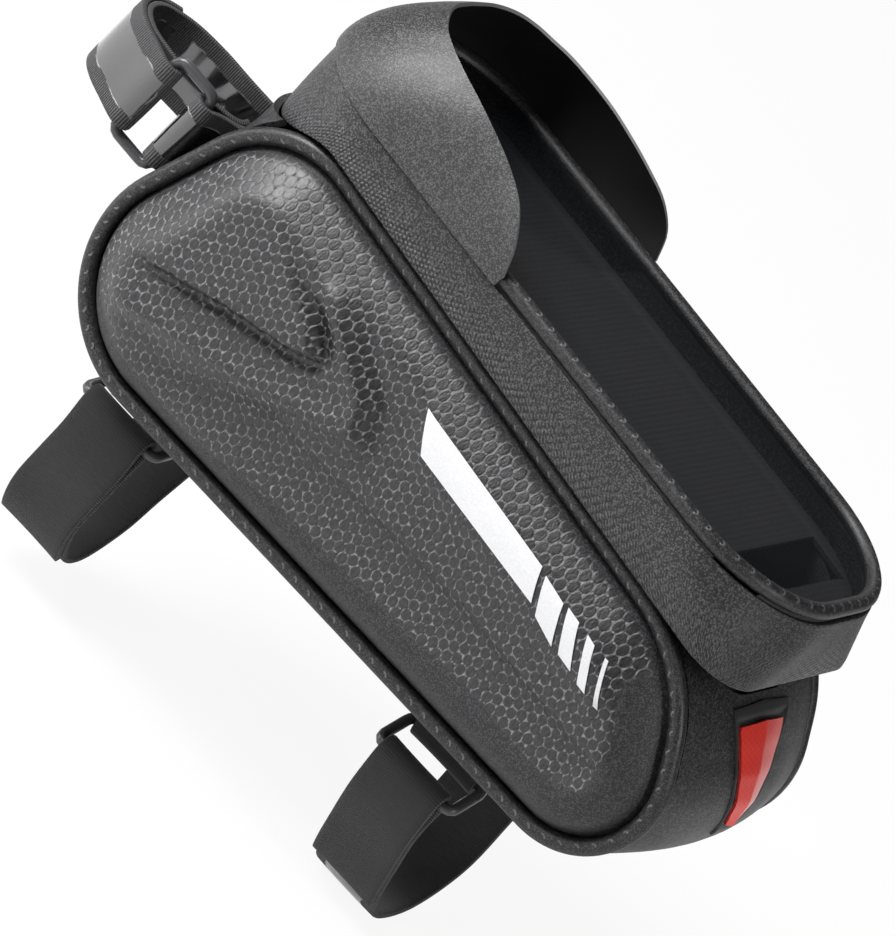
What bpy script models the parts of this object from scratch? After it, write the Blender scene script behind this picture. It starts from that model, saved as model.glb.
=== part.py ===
"""Phone bag for a bicycle's top tube: two moulded side shells, a sewn gusset, a zipped lid with a clear
window and a sun visor, and three strap loops with rings.

Metres, +X towards the rider, +Y to the bike's right, +Z up. The origin is on the flat underside that
lies on the top tube, between the two tube straps.
"""
import math

import bmesh
import bpy
import numpy as np
from mathutils import Vector

for old in list(bpy.data.objects):
    bpy.data.objects.remove(old, do_unlink=True)

MM = 0.001
CLEAR = 0.3 * MM

# Side panel outline, seen from the left: the line of its piping
FOOT_FRONT_X = -118.0 * MM
FOOT_REAR_X = 140.0 * MM
TOP_FRONT_X = -77.2 * MM
TOP_FRONT_Z = 94.0 * MM
TOP_REAR_X = 107.0 * MM
TOP_REAR_Z = 65.1 * MM
TOP_FRONT_RADIUS = 32.6 * MM
FOOT_FRONT_RADIUS = 34.7 * MM
FOOT_REAR_RADIUS = 26.0 * MM
TOP_REAR_RADIUS = 45.0 * MM

# Body
BODY_HALF_WIDTH = 40.0 * MM
PIPING_RADIUS = 2.2 * MM
GUSSET_THICKNESS = 2.0 * MM
GUSSET_CROWN = 4.8 * MM
SHELL_THICKNESS = 3.8 * MM
SHELL_RIM_STEP = 1.0 * MM
DOME_HEIGHT = 9.0 * MM
DOME_RUN = 15.0 * MM
BOARD_THICKNESS = 1.6 * MM
BOARD_HALF_WIDTH = 33.0 * MM
BOARD_END_MARGIN = 3.0 * MM
BOARD_CORNER_RADIUS = 6.0 * MM

# Relief of the side shells: heights above the dome
ARROW_HEIGHT = 2.4 * MM
CREST_HEIGHT = 1.8 * MM
BELLY_DROP = 2.0 * MM
RELIEF_SLOPE = 3.0 * MM
WIDE_SLOPE = 9.0 * MM
STRIP_HEIGHT = 1.08 * MM
ARROW_FACET = [(-92, 42), (-78, 37.5), (-23.5, 50), (-57.5, 70), (-80, 75)]
CREST_FACET = [(-92, 24), (-76, 24), (-39, 34.5), (-4, 44), (-11, 57), (-30, 70), (-60, 79), (-84, 68)]
STRIP_FACET = [(8, 70), (14, 53), (96, 40), (102, 50), (70, 62)]
BELLY_LINE = [(-75, 18), (-24, 34.4), (15, 36.6), (55, 36.6), (100, 33)]

# Lid: the line of its piping, and the band below it
LID_SIDE_OVERHANG = 1.2 * MM
LID_FRONT_AHEAD = 8.3 * MM
LID_REAR_PAST = 9.5 * MM
LID_FRONT_RISE = 17.6 * MM
LID_REAR_RISE = 27.3 * MM
LID_CORNER_RADIUS = 33.0 * MM
LID_PIPING_RADIUS = 2.1 * MM
BAND_THICKNESS = 1.8 * MM
BAND_TOP_OFFSET = 2.6 * MM
BAND_FLARE = 0.5 * MM
BAND_FLARE_POWER = 1.4
BAND_FRONT_FLARE = 1.3 * MM
BAND_REAR_RADIUS = 19.0 * MM
BAND_GAP = 3.0 * MM
BAND_FRONT_DROP = 12.8 * MM
BAND_FRONT_RUN = 32.0 * MM
SEAM_GAP = 0.5 * MM
FILM_THICKNESS = 0.8 * MM
POCKET_DEPTH = 8.8 * MM
POCKET_PANEL_THICKNESS = 1.2 * MM
POCKET_SLOT_LENGTH = 14.0 * MM
POCKET_SLOT_HALF_WIDTH = 33.0 * MM
POCKET_SLOT_FROM_REAR = 28.0 * MM
POCKET_SLOT_CORNER = 5.0 * MM
POCKET_PANEL_SIDE_GAP = 0.6 * MM

# Sun visor
VISOR_THICKNESS = 1.0 * MM
VISOR_REACH_X = 0.0 * MM
VISOR_LEAN_POWER = 1.8
VISOR_EDGE_TILT = 0.35
# The free edge of one half, from the foot to the front: x, distance from the middle, height above the lid
VISOR_RIM = [(0.8, 44.6, 1.5), (-1.2, 44.6, 8), (-4, 43.6, 12.1), (-8.4, 41.6, 15.9), (-14, 39.6, 18.4),
             (-23, 37.8, 21), (-35, 36, 23.2), (-48.9, 32.6, 24.5), (-56.5, 29, 24.8), (-61.5, 25.5, 25.2),
             (-66, 19.5, 25.6), (-69.5, 11, 25.2), (-70.7, 0, 24.7)]

# Zip
ZIP_INSET = 4.7 * MM
ZIP_REAR_INSET = 7.0 * MM
ZIP_RISE = 5.2 * MM
GUSSET_PAST_ZIP = 3.2 * MM
ZIP_FRONT_X = -54.0 * MM
TAPE_THICKNESS = 0.8 * MM
TAPE_TUCK = 8.0 * MM
COIL_SPLIT = 1.6 * MM
COIL_WIDTH = 1.6 * MM
COIL_THICKNESS = 2.0 * MM
COIL_EDGE = 0.3 * MM
SLIDER_LENGTH = 11.0 * MM
SLIDER_HEIGHT = 6.8 * MM
SLIDER_PLATE = 0.9 * MM
SLIDER_WEB = 1.0 * MM
SLIDER_REST_X = 24.0 * MM
SLIDER_TAB_LENGTH = 12.0 * MM
SLIDER_TAB_HALF_WIDTH = 2.2 * MM
SLIDER_TAB_THICKNESS = 1.1 * MM
SLIDER_TAB_SINK = 0.3 * MM
SLIDER_TAB_OFFSET = 1.1 * MM

# Straps and rings
STRAP_WIDTH = 23.8 * MM
STRAP_THICKNESS = 2.0 * MM
STRAP_LAYER_GAP = 0.35 * MM
RING_BAR_RADIUS = 1.6 * MM
RING_INNER_LENGTH = 25.8 * MM
RING_INNER_GAP = 11.2 * MM
RING_CORNER = 2.6 * MM
RING_LEAD_IN = 2.0 * MM
RING_PINCH = 8.0 * MM
TUBE_STRAP_BACK = 42.0 * MM
TUBE_STRAP_STEP = 5.5 * MM
TUBE_TAB_BACK = 22.0 * MM
TUBE_TAB_STEP = 4.0 * MM
HEAD_STRAP_BACK = 38.0 * MM
HEAD_STRAP_STEP = 5.0 * MM
HEAD_TAB_BACK = 18.0 * MM
HEAD_TAB_STEP = 3.0 * MM
HEAD_STRAP_SEWN = 13.0 * MM
HEAD_STRAP_TURN = 22.0 * MM
FRONT_TUBE_STRAP_X = -69.0 * MM
REAR_TUBE_STRAP_X = 62.5 * MM
HEAD_STRAP_Z = 62.5 * MM
HEAD_SEAT_GAP = 0.6 * MM
RING_SIDE_Y = -33.0 * MM
RING_OFF_FACE = 9.6 * MM

# Rear badge
BADGE_THICKNESS = 2.2 * MM
BADGE_INSERT_THICKNESS = 1.0 * MM
BADGE_Z = 37.5 * MM
BADGE_HEIGHT = 34.0 * MM
BADGE_TOP_HALF = 16.0 * MM
BADGE_FOOT_HALF = 3.5 * MM
BADGE_SHOULDER = 0.92
BADGE_PEAK = 0.03
BADGE_INSERT_SCALE = 0.74

# How finely each form is divided
ARC_STEPS = 7
LID_ARC_STEPS = 7
GUSSET_COLUMNS = 11
BAND_LEVELS = 5
VISOR_HALF_COLUMNS = 16
VISOR_LEVELS = 8
VISOR_RIM_STEP = 4.0 * MM
BADGE_GRID = 7
ZIP_SIDE_STEPS = 12
WRAP_STEPS = 7
SLOPE_SPAN = 1.0 * MM


def make_material(name, color, roughness, metallic=0.0, alpha=1.0):
    material = bpy.data.materials.new(name)
    material.use_nodes = True
    shader = material.node_tree.nodes["Principled BSDF"]
    shader.inputs["Base Color"].default_value = (*color, 1.0)
    shader.inputs["Roughness"].default_value = roughness
    shader.inputs["Metallic"].default_value = metallic
    shader.inputs["Alpha"].default_value = alpha
    return material


BLACK_LEATHER = make_material("black_pu_leather", (0.035, 0.035, 0.037), 0.55)
SHELL_SKIN = make_material("moulded_shell_skin", (0.045, 0.045, 0.047), 0.5)
PIPING_SKIN = make_material("piping_skin", (0.03, 0.03, 0.032), 0.5)
CLEAR_FILM = make_material("clear_film", (0.8, 0.82, 0.84), 0.08, alpha=0.35)
WEBBING = make_material("black_webbing", (0.02, 0.02, 0.021), 0.8)
RING_PLASTIC = make_material("ring_plastic", (0.02, 0.02, 0.02), 0.35)
LINING = make_material("pocket_lining", (0.03, 0.03, 0.031), 0.85)
BOARD_PLASTIC = make_material("base_board_plastic", (0.05, 0.05, 0.05), 0.6)
TAPE_CLOTH = make_material("zip_tape", (0.015, 0.015, 0.015), 0.85)
SLIDER_METAL = make_material("slider_metal", (0.05, 0.05, 0.05), 0.35, 1.0)
BADGE_RUBBER = make_material("badge_rubber", (0.03, 0.03, 0.03), 0.5)
BADGE_RED = make_material("badge_red", (0.78, 0.05, 0.03), 0.4)


def add_object(name, verts, faces, material, smooth_angle=35.0):
    """A closed mesh as an object, its doubles merged and its faces turned outwards."""
    mesh = bpy.data.meshes.new(name)
    mesh.from_pydata([tuple(map(float, v)) for v in verts], [], faces)
    work = bmesh.new()
    work.from_mesh(mesh)
    bmesh.ops.remove_doubles(work, verts=work.verts, dist=1e-6)
    bmesh.ops.dissolve_degenerate(work, edges=work.edges, dist=1e-6)
    bmesh.ops.recalc_face_normals(work, faces=work.faces)
    if work.calc_volume(signed=True) < 0:
        bmesh.ops.reverse_faces(work, faces=work.faces)
    work.to_mesh(mesh)
    work.free()
    mesh.shade_smooth()
    mesh.set_sharp_from_angle(angle=math.radians(smooth_angle))
    mesh.materials.append(material)
    obj = bpy.data.objects.new(name, mesh)
    bpy.context.scene.collection.objects.link(obj)
    return obj


def slab_from_grids(name, outer, inner, material, closed_rows=False, smooth_angle=35.0):
    """Closes two grids of points, of the same size, into one wall with all its edges."""
    rows, columns = outer.shape[:2]
    count = rows * columns
    verts = np.concatenate([outer.reshape(-1, 3), inner.reshape(-1, 3)])

    def outside(i, j):
        return (i % rows) * columns + j

    def inside(i, j):
        return count + outside(i, j)

    faces = []
    row_spans = range(rows if closed_rows else rows - 1)
    for i in row_spans:
        for j in range(columns - 1):
            faces.append((outside(i, j), outside(i, j + 1), outside(i + 1, j + 1), outside(i + 1, j)))
            faces.append((inside(i, j), inside(i + 1, j), inside(i + 1, j + 1), inside(i, j + 1)))
        for j in (0, columns - 1):
            faces.append((outside(i, j), outside(i + 1, j), inside(i + 1, j), inside(i, j)))
    if not closed_rows:
        for i in (0, rows - 1):
            for j in range(columns - 1):
                faces.append((outside(i, j), inside(i, j), inside(i, j + 1), outside(i, j + 1)))
    return add_object(name, verts, faces, material, smooth_angle)


def unit(vector):
    vector = np.asarray(vector, float)
    return vector / np.linalg.norm(vector)


def inset_corners(corners, inset):
    """The corners of a counterclockwise polygon after each side moves inwards by inset."""
    moved = []
    count = len(corners)
    for k in range(count):
        here = np.array(corners[k])
        into = unit(here - np.array(corners[k - 1]))
        out = unit(np.array(corners[(k + 1) % count]) - here)
        turn = into[0] * out[1] - into[1] * out[0]
        moved.append(here + inset * (out - into) / turn)
    return moved


def rounded_outline(corners, radii, inset, arc_steps, side_steps):
    """Points round a counterclockwise polygon with round corners: an arc, then its side, for each corner."""
    corners = inset_corners(corners, inset)
    count = len(corners)
    arcs = []
    for k in range(count):
        here = corners[k]
        back = unit(corners[k - 1] - here)
        ahead = unit(corners[(k + 1) % count] - here)
        half = 0.5 * math.acos(float(np.clip(back @ ahead, -1, 1)))
        radius = max(radii[k] - inset, 0.15 * radii[k])
        centre = here + unit(back + ahead) * radius / math.sin(half)
        first = here + back * radius / math.tan(half) - centre
        sweep = math.pi - 2 * half
        turned = []
        for step in range(arc_steps + 1):
            angle = sweep * step / arc_steps
            rotation = np.array([[math.cos(angle), -math.sin(angle)], [math.sin(angle), math.cos(angle)]])
            turned.append(centre + rotation @ first)
        arcs.append(turned)
    points = []
    for k in range(count):
        points += arcs[k]
        start = arcs[k][-1]
        end = arcs[(k + 1) % count][0]
        for step in range(1, side_steps[k]):
            points.append(start + (end - start) * step / side_steps[k])
    return np.array(points)


PANEL_CORNERS = [(TOP_FRONT_X, TOP_FRONT_Z), (FOOT_FRONT_X, 0.0), (FOOT_REAR_X, 0.0), (TOP_REAR_X, TOP_REAR_Z)]
PANEL_RADII = [TOP_FRONT_RADIUS, FOOT_FRONT_RADIUS, FOOT_REAR_RADIUS, TOP_REAR_RADIUS]
PANEL_SIDE_STEPS = [2, 12, 2, 12]


def panel_outline(inset):
    return rounded_outline(PANEL_CORNERS, PANEL_RADII, inset, ARC_STEPS, PANEL_SIDE_STEPS)


def top_line(x):
    """Height of the side panel's straight top edge at x."""
    slope = (TOP_REAR_Z - TOP_FRONT_Z) / (TOP_REAR_X - TOP_FRONT_X)
    return TOP_FRONT_Z + slope * (x - TOP_FRONT_X)


LID_FRONT_X = TOP_FRONT_X - LID_FRONT_AHEAD
LID_REAR_X = TOP_REAR_X + LID_REAR_PAST
LID_HALF_WIDTH = BODY_HALF_WIDTH + LID_SIDE_OVERHANG
LID_FRONT_Z = top_line(LID_FRONT_X) + LID_FRONT_RISE
LID_REAR_Z = top_line(LID_REAR_X) + LID_REAR_RISE
LID_SIDE_STEPS = [2, 10, 2, 10]


def lid_plane(x):
    return LID_FRONT_Z + (LID_REAR_Z - LID_FRONT_Z) * (x - LID_FRONT_X) / (LID_REAR_X - LID_FRONT_X)


def plan_outline(front_x, rear_x, half_width, front_radius, rear_radius):
    """Round-cornered plan shape, from the front right corner round by the left side."""
    corners = [(front_x, half_width), (front_x, -half_width), (rear_x, -half_width), (rear_x, half_width)]
    radii = [front_radius, front_radius, rear_radius, rear_radius]
    return rounded_outline(corners, radii, 0.0, LID_ARC_STEPS, LID_SIDE_STEPS)


def lid_outline(offset):
    radius = LID_CORNER_RADIUS + offset
    return plan_outline(LID_FRONT_X - offset, LID_REAR_X + offset, LID_HALF_WIDTH + offset, radius, radius)


def smooth_step(value):
    value = min(1.0, max(0.0, value))
    return value * value * (3 - 2 * value)


BAND_FOOT_FRONT_X = LID_FRONT_X - BAND_TOP_OFFSET - BAND_FRONT_FLARE
BAND_FOOT_REAR_X = LID_REAR_X + BAND_TOP_OFFSET + BAND_FLARE
BAND_FOOT_HALF_WIDTH = LID_HALF_WIDTH + BAND_TOP_OFFSET + BAND_FLARE
BAND_FOOT_RADIUS = LID_CORNER_RADIUS


def band_foot_z(x):
    """Height of the band's lower edge: close above the side piping, and lower round the front."""
    drop = BAND_FRONT_DROP * smooth_step((BAND_FOOT_FRONT_X + BAND_FRONT_RUN - x) / BAND_FRONT_RUN)
    return top_line(x) + BAND_GAP - drop


HINGE_X = BAND_FOOT_FRONT_X
HINGE_Z = band_foot_z(HINGE_X)

lid_pivot = bpy.data.objects.new("lid_pivot", None)
lid_pivot.location = (HINGE_X, 0.0, HINGE_Z)
bpy.context.scene.collection.objects.link(lid_pivot)
bpy.context.view_layer.update()


def hang_on_lid(obj):
    """Parents a lid piece to the empty on the lid's axis, and keeps it where it was modelled."""
    obj.parent = lid_pivot
    obj.matrix_parent_inverse = lid_pivot.matrix_world.inverted()
    return obj


def closed_tube(name, centres, side_axis, radius, sides, material):
    """A round cord along a closed line that lies in one plane, whose normal is side_axis."""
    centres = np.asarray(centres)
    side_axis = unit(side_axis)
    count = len(centres)
    verts = []
    for k in range(count):
        along = unit(unit(centres[(k + 1) % count] - centres[k]) + unit(centres[k] - centres[k - 1]))
        across = np.cross(along, side_axis)
        for s in range(sides):
            angle = 2 * math.pi * s / sides
            verts.append(centres[k] + radius * (math.cos(angle) * across + math.sin(angle) * side_axis))
    faces = []
    for k in range(count):
        after = (k + 1) % count
        for s in range(sides):
            turn = (s + 1) % sides
            faces.append((k * sides + s, k * sides + turn, after * sides + turn, after * sides + s))
    return add_object(name, verts, faces, material, 60.0)


def plate(name, points, up, thickness, material, hole=None):
    """A flat plate: a loop of points in space, thickened along up. A hole is a second loop, as long."""
    points = np.asarray(points)
    up = unit(up) * thickness
    if hole is not None:
        hole = np.asarray(hole)
        upper = np.stack([points + up, hole + up], 1)
        lower = np.stack([points, hole], 1)
        return slab_from_grids(name, upper, lower, material, closed_rows=True, smooth_angle=30.0)
    count = len(points)
    verts = np.concatenate([points, points + up])
    faces = [tuple(range(count)), tuple(range(count, 2 * count))]
    faces += [(k, (k + 1) % count, count + (k + 1) % count, count + k) for k in range(count)]
    return add_object(name, verts, faces, material, 30.0)


def inside_distance(x, z, polygon):
    """Signed distance to a polygon's edge in millimetres, positive inside."""
    inside = False
    nearest = 1e9
    count = len(polygon)
    for k in range(count):
        ax, az = polygon[k - 1]
        bx, bz = polygon[k]
        if (az > z) != (bz > z) and x < ax + (z - az) * (bx - ax) / (bz - az):
            inside = not inside
        length2 = (bx - ax) ** 2 + (bz - az) ** 2
        t = min(1.0, max(0.0, ((x - ax) * (bx - ax) + (z - az) * (bz - az)) / length2))
        nearest = min(nearest, math.hypot(x - ax - t * (bx - ax), z - az - t * (bz - az)))
    return nearest if inside else -nearest


def relief(x, z):
    """Raised arrow, the crest round it, the print's facet and the belly, above the plain dome."""
    x_mm = x / MM
    z_mm = z / MM
    slope = RELIEF_SLOPE / MM
    wide = WIDE_SLOPE / MM
    height = CREST_HEIGHT * smooth_step(0.5 + inside_distance(x_mm, z_mm, CREST_FACET) / wide)
    height += ARROW_HEIGHT * smooth_step(0.5 + inside_distance(x_mm, z_mm, ARROW_FACET) / slope)
    height += STRIP_HEIGHT * smooth_step(0.5 + inside_distance(x_mm, z_mm, STRIP_FACET) / wide)
    line_x = [point[0] for point in BELLY_LINE]
    line_z = [point[1] for point in BELLY_LINE]
    below = float(np.interp(x_mm, line_x, line_z)) - z_mm
    height -= BELLY_DROP * smooth_step(below / wide)
    return height


def dome(inset, x, z):
    """How far the side shell stands out beyond its rim at a point this far inside its outline."""
    rise = math.sin(0.5 * math.pi * min(1.0, inset / DOME_RUN))
    shaped = smooth_step((inset - 0.3 * DOME_RUN) / DOME_RUN)
    return DOME_HEIGHT * rise + shaped * relief(x, z)


SHELL_RIM_INSET = PIPING_RADIUS + CLEAR
SHELL_INSETS = [0.0, 1.2 * MM, 3.5 * MM, 6.5 * MM, 10.0 * MM, 15.0 * MM, 20.0 * MM]
SHELL_CORE_SHARES = [0.8, 0.6, 0.4, 0.2]


def build_side_shell(name, side):
    """Moulded shell: rings of points from the rim to the middle, an outer and an inner face."""
    rings = []
    for depth in SHELL_INSETS:
        outline = panel_outline(SHELL_RIM_INSET + depth)
        rings.append([(x, z, dome(depth, x, z)) for x, z in outline])
    core = panel_outline(SHELL_RIM_INSET + SHELL_INSETS[-1])
    middle_x = 0.5 * (core[:, 0].min() + core[:, 0].max())
    middle_z = 0.5 * (core[:, 1].min() + core[:, 1].max())
    half_height = middle_z - core[:, 1].min()
    spine = core[:, 0].clip(middle_x - 3.0 * half_height, middle_x + 2.4 * half_height)
    for share in SHELL_CORE_SHARES:
        ring = []
        for k, (x, z) in enumerate(core):
            px = spine[k] + (x - spine[k]) * share
            pz = middle_z + (z - middle_z) * share
            ring.append((px, pz, dome(DOME_RUN * 2, px, pz)))
        rings.append(ring)
    rim_y = BODY_HALF_WIDTH + SHELL_RIM_STEP
    count = len(core)
    inside = [rings[0], rings[2], rings[4], rings[6], rings[8], rings[10]]
    verts = []
    faces = []
    for layer, wall in ((rings, 0.0), (inside, SHELL_THICKNESS)):
        base = len(verts)
        for ring in layer:
            verts += [(x, side * (rim_y + out - wall), z) for x, z, out in ring]
        for level in range(len(layer) - 1):
            a = base + level * count
            for k in range(count):
                after = (k + 1) % count
                faces.append((a + k, a + after, a + count + after, a + count + k))
        faces.append(tuple(range(len(verts) - count, len(verts))))
    shift = len(rings) * count
    for k in range(count):
        after = (k + 1) % count
        faces.append((k, shift + k, shift + after, after))
    return add_object(name, verts, faces, SHELL_SKIN, 40.0)


def build_side_piping(name, side):
    line = panel_outline(0.0)
    centres = [(x, side * BODY_HALF_WIDTH, z) for x, z in line]
    return closed_tube(name, centres, (0, 1, 0), PIPING_RADIUS, 6, PIPING_SKIN)


GUSSET_HALF_WIDTH = BODY_HALF_WIDTH - PIPING_RADIUS - CLEAR
ZIP_HALF_WIDTH = LID_HALF_WIDTH - ZIP_INSET
ZIP_REAR_X = LID_REAR_X - ZIP_REAR_INSET
ZIP_RADIUS = LID_CORNER_RADIUS - ZIP_INSET


def open_round(front_x, rear_x, half_width, radius, y):
    """Where a U-shaped line open to the front lies at y: its x on the rear round, or front_x beside it."""
    past = abs(y) - (half_width - radius)
    if past <= 0:
        return rear_x
    if past >= radius:
        return front_x
    return rear_x - radius + math.sqrt(radius * radius - past * past)


def gusset_row(y):
    """Outer line of the gusset at this y: front end at the lid's seam, rear end behind the zip."""
    share = min(1.0, abs(y) / GUSSET_HALF_WIDTH)
    closeness = 1.0 - share * share
    path = rounded_outline(PANEL_CORNERS, PANEL_RADII, 0.0, ARC_STEPS, PANEL_SIDE_STEPS)
    path = path[:len(path) - PANEL_SIDE_STEPS[-1] + 1]
    normals = []
    for k in range(len(path)):
        along = unit(path[min(k + 1, len(path) - 1)] - path[max(k - 1, 0)])
        normals.append((along[1], -along[0]))
    normals = np.array(normals)
    crown = GUSSET_CROWN * closeness * normals[:, 0] ** 2
    rows = np.array(path) + normals * crown[:, None]
    past = max(0.0, abs(y) - (BAND_FOOT_HALF_WIDTH - BAND_FOOT_RADIUS))
    seam_x = BAND_FOOT_FRONT_X + BAND_FOOT_RADIUS - math.sqrt(BAND_FOOT_RADIUS ** 2 - past ** 2)
    seam = np.array([seam_x, band_foot_z(seam_x) - SEAM_GAP])
    front = rows[:ARC_STEPS + 1].copy()
    skipped = float(np.interp(-seam_x, -front[:, 0], range(ARC_STEPS + 1)))
    for k in range(ARC_STEPS + 1):
        position = skipped + (ARC_STEPS - skipped) * k / ARC_STEPS
        low = min(int(position), ARC_STEPS - 1)
        rows[k] = front[low] + (front[low + 1] - front[low]) * (position - low)
    reach = ARC_STEPS + 1
    pull = seam - rows[0]
    for k in range(reach):
        rows[k] += pull * (1 - k / reach) ** 2
    end_x = open_round(rows[-1][0], ZIP_REAR_X + GUSSET_PAST_ZIP, GUSSET_HALF_WIDTH + CLEAR,
                       ZIP_RADIUS + GUSSET_PAST_ZIP, y)
    first = len(rows) - ARC_STEPS - 1
    rear = rows[first:].copy()
    stop = ARC_STEPS
    for k in range(ARC_STEPS):
        if rear[k][0] >= end_x >= rear[k + 1][0]:
            stop = k + (rear[k][0] - end_x) / (rear[k][0] - rear[k + 1][0])
            break
    for k in range(ARC_STEPS + 1):
        position = stop * k / ARC_STEPS
        low = min(int(position), ARC_STEPS - 1)
        rows[first + k] = rear[low] + (rear[low + 1] - rear[low]) * (position - low)
    return rows


def build_gusset():
    """Strip sewn round the front, the underside and the rear, crowned between its two pipings."""
    outer = []
    for j in range(GUSSET_COLUMNS):
        y = GUSSET_HALF_WIDTH * math.sin(0.5 * math.pi * (2 * j / (GUSSET_COLUMNS - 1) - 1))
        outer.append([(x, y, z) for x, z in gusset_row(y)])
    outer = np.array(outer).transpose(1, 0, 2)
    inner = outer.copy()
    for i in range(outer.shape[0]):
        for j in range(GUSSET_COLUMNS):
            along = outer[min(i + 1, len(outer) - 1), j] - outer[max(i - 1, 0), j]
            inward = unit((-along[2], 0.0, along[0]))
            inner[i, j] += GUSSET_THICKNESS * inward
    return slab_from_grids("gusset", outer, inner, BLACK_LEATHER)


def build_base_board():
    """Stiff board that lies inside on the gusset's flat underside."""
    line = panel_outline(0.0)
    flat = [x for x, z in line if z < 0.01 * MM]
    front = min(flat) + BOARD_END_MARGIN
    rear = max(flat) - BOARD_END_MARGIN
    corners = [(front, -BOARD_HALF_WIDTH), (rear, -BOARD_HALF_WIDTH), (rear, BOARD_HALF_WIDTH),
               (front, BOARD_HALF_WIDTH)]
    outline = rounded_outline(corners, [BOARD_CORNER_RADIUS] * 4, 0.0, 4, [1, 1, 1, 1])
    points = [(x, y, GUSSET_THICKNESS + CLEAR) for x, y in outline]
    return plate("base_board", points, (0, 0, 1), BOARD_THICKNESS, BOARD_PLASTIC)


LID_SLOPE = (LID_REAR_Z - LID_FRONT_Z) / (LID_REAR_X - LID_FRONT_X)
LID_UP = unit((-LID_SLOPE, 0.0, 1.0))


def on_lid_plane(points, drop=0.0):
    """Puts plan points on the lid's plane, or drop below it."""
    return np.array([(x, y, lid_plane(x) - drop) for x, y in points])


def build_lid_piping():
    centres = on_lid_plane(lid_outline(0.0))
    return closed_tube("lid_piping", centres, LID_UP, LID_PIPING_RADIUS, 8, PIPING_SKIN)


def build_window_film():
    points = on_lid_plane(lid_outline(-LID_PIPING_RADIUS - CLEAR), 0.5 * FILM_THICKNESS)
    return plate("window_film", points, LID_UP, FILM_THICKNESS, CLEAR_FILM)


def build_lid_band():
    """Side wall of the lid. It flares to its lower edge, whose rear corners are squarer than the lid's."""
    top = lid_outline(BAND_TOP_OFFSET)
    foot = plan_outline(BAND_FOOT_FRONT_X, BAND_FOOT_REAR_X, BAND_FOOT_HALF_WIDTH, BAND_FOOT_RADIUS,
                        BAND_REAR_RADIUS)
    outer = []
    inner = []
    for k in range(len(top)):
        before, after = top[k - 1], top[(k + 1) % len(top)]
        foot_before, foot_after = foot[k - 1], foot[(k + 1) % len(foot)]
        line_out = []
        line_in = []
        top_z = lid_plane(top[k][0]) - LID_PIPING_RADIUS - CLEAR
        foot_z = band_foot_z(foot[k][0])
        for level in range(BAND_LEVELS):
            share = level / (BAND_LEVELS - 1)
            flare = share ** BAND_FLARE_POWER
            x, y = top[k] + (foot[k] - top[k]) * flare
            along = unit((after - before) * (1 - flare) + (foot_after - foot_before) * flare)
            z = top_z + (foot_z - top_z) * share
            line_out.append((x, y, z))
            line_in.append((x - along[1] * BAND_THICKNESS, y + along[0] * BAND_THICKNESS, z))
        outer.append(line_out)
        inner.append(line_in)
    return slab_from_grids("lid_band", np.array(outer), np.array(inner), BLACK_LEATHER, closed_rows=True)


def build_pocket_panel():
    """Padded floor under the handset, with the slot it goes in by near the rear."""
    outline = lid_outline(BAND_TOP_OFFSET - BAND_THICKNESS - POCKET_PANEL_SIDE_GAP)
    rear = LID_REAR_X - POCKET_SLOT_FROM_REAR + POCKET_SLOT_LENGTH
    slot = plan_outline(rear - POCKET_SLOT_LENGTH, rear, POCKET_SLOT_HALF_WIDTH,
                        POCKET_SLOT_CORNER, POCKET_SLOT_CORNER)
    drop = POCKET_DEPTH + POCKET_PANEL_THICKNESS
    return plate("pocket_panel", on_lid_plane(outline, drop), LID_UP, POCKET_PANEL_THICKNESS, LINING,
                 on_lid_plane(slot, drop))


def spread(points, count):
    """This many points, evenly spaced along a polyline."""
    points = np.asarray(points)
    length = np.concatenate([[0.0], np.cumsum(np.linalg.norm(np.diff(points, axis=0), axis=1))])
    at = np.linspace(0.0, length[-1], count)
    return np.stack([np.interp(at, length, points[:, axis]) for axis in range(points.shape[1])], 1)


def build_sun_visor():
    """Sheet that stands round the front of the lid, outside its piping, and leans in over the window."""
    loop = lid_outline(LID_PIPING_RADIUS + 2 * CLEAR + 0.5 * VISOR_THICKNESS)
    middle = LID_ARC_STEPS + LID_SIDE_STEPS[0] // 2
    half_foot = [(VISOR_REACH_X, loop[0][1])] + [tuple(p) for p in loop[:middle + 1]]
    foot = spread([(x, y, lid_plane(x) - LID_PIPING_RADIUS) for x, y in half_foot], VISOR_HALF_COLUMNS)
    rim_line = [(x * MM, y * MM, lid_plane(x * MM) + h * MM) for x, y, h in VISOR_RIM]
    rim = spread(smooth_route(rim_line, VISOR_RIM_STEP), VISOR_HALF_COLUMNS)
    foot = np.concatenate([foot, foot[-2::-1] * (1, -1, 1)])
    rim = np.concatenate([rim, rim[-2::-1] * (1, -1, 1)])
    sheet = np.zeros((len(foot), VISOR_LEVELS, 3))
    for level in range(VISOR_LEVELS):
        share = level / (VISOR_LEVELS - 1)
        lean = np.array([share ** VISOR_LEAN_POWER, share ** VISOR_LEAN_POWER, share])
        sheet[:, level] = foot + (rim - foot) * lean
    outer = sheet.copy()
    inner = sheet.copy()
    for k in range(len(foot)):
        for level in range(VISOR_LEVELS):
            along = sheet[min(k + 1, len(foot) - 1), level] - sheet[max(k - 1, 0), level]
            up = sheet[k, min(level + 1, VISOR_LEVELS - 1)] - sheet[k, max(level - 1, 0)]
            outward = np.cross(up, along)
            outward = unit((outward[0], outward[1], VISOR_EDGE_TILT * outward[2]))
            outer[k, level] += outward * VISOR_THICKNESS / 2
            inner[k, level] -= outward * VISOR_THICKNESS / 2
    return slab_from_grids("sun_visor", outer, inner, BLACK_LEATHER)


def zip_height(x):
    return top_line(x) + ZIP_RISE


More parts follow.
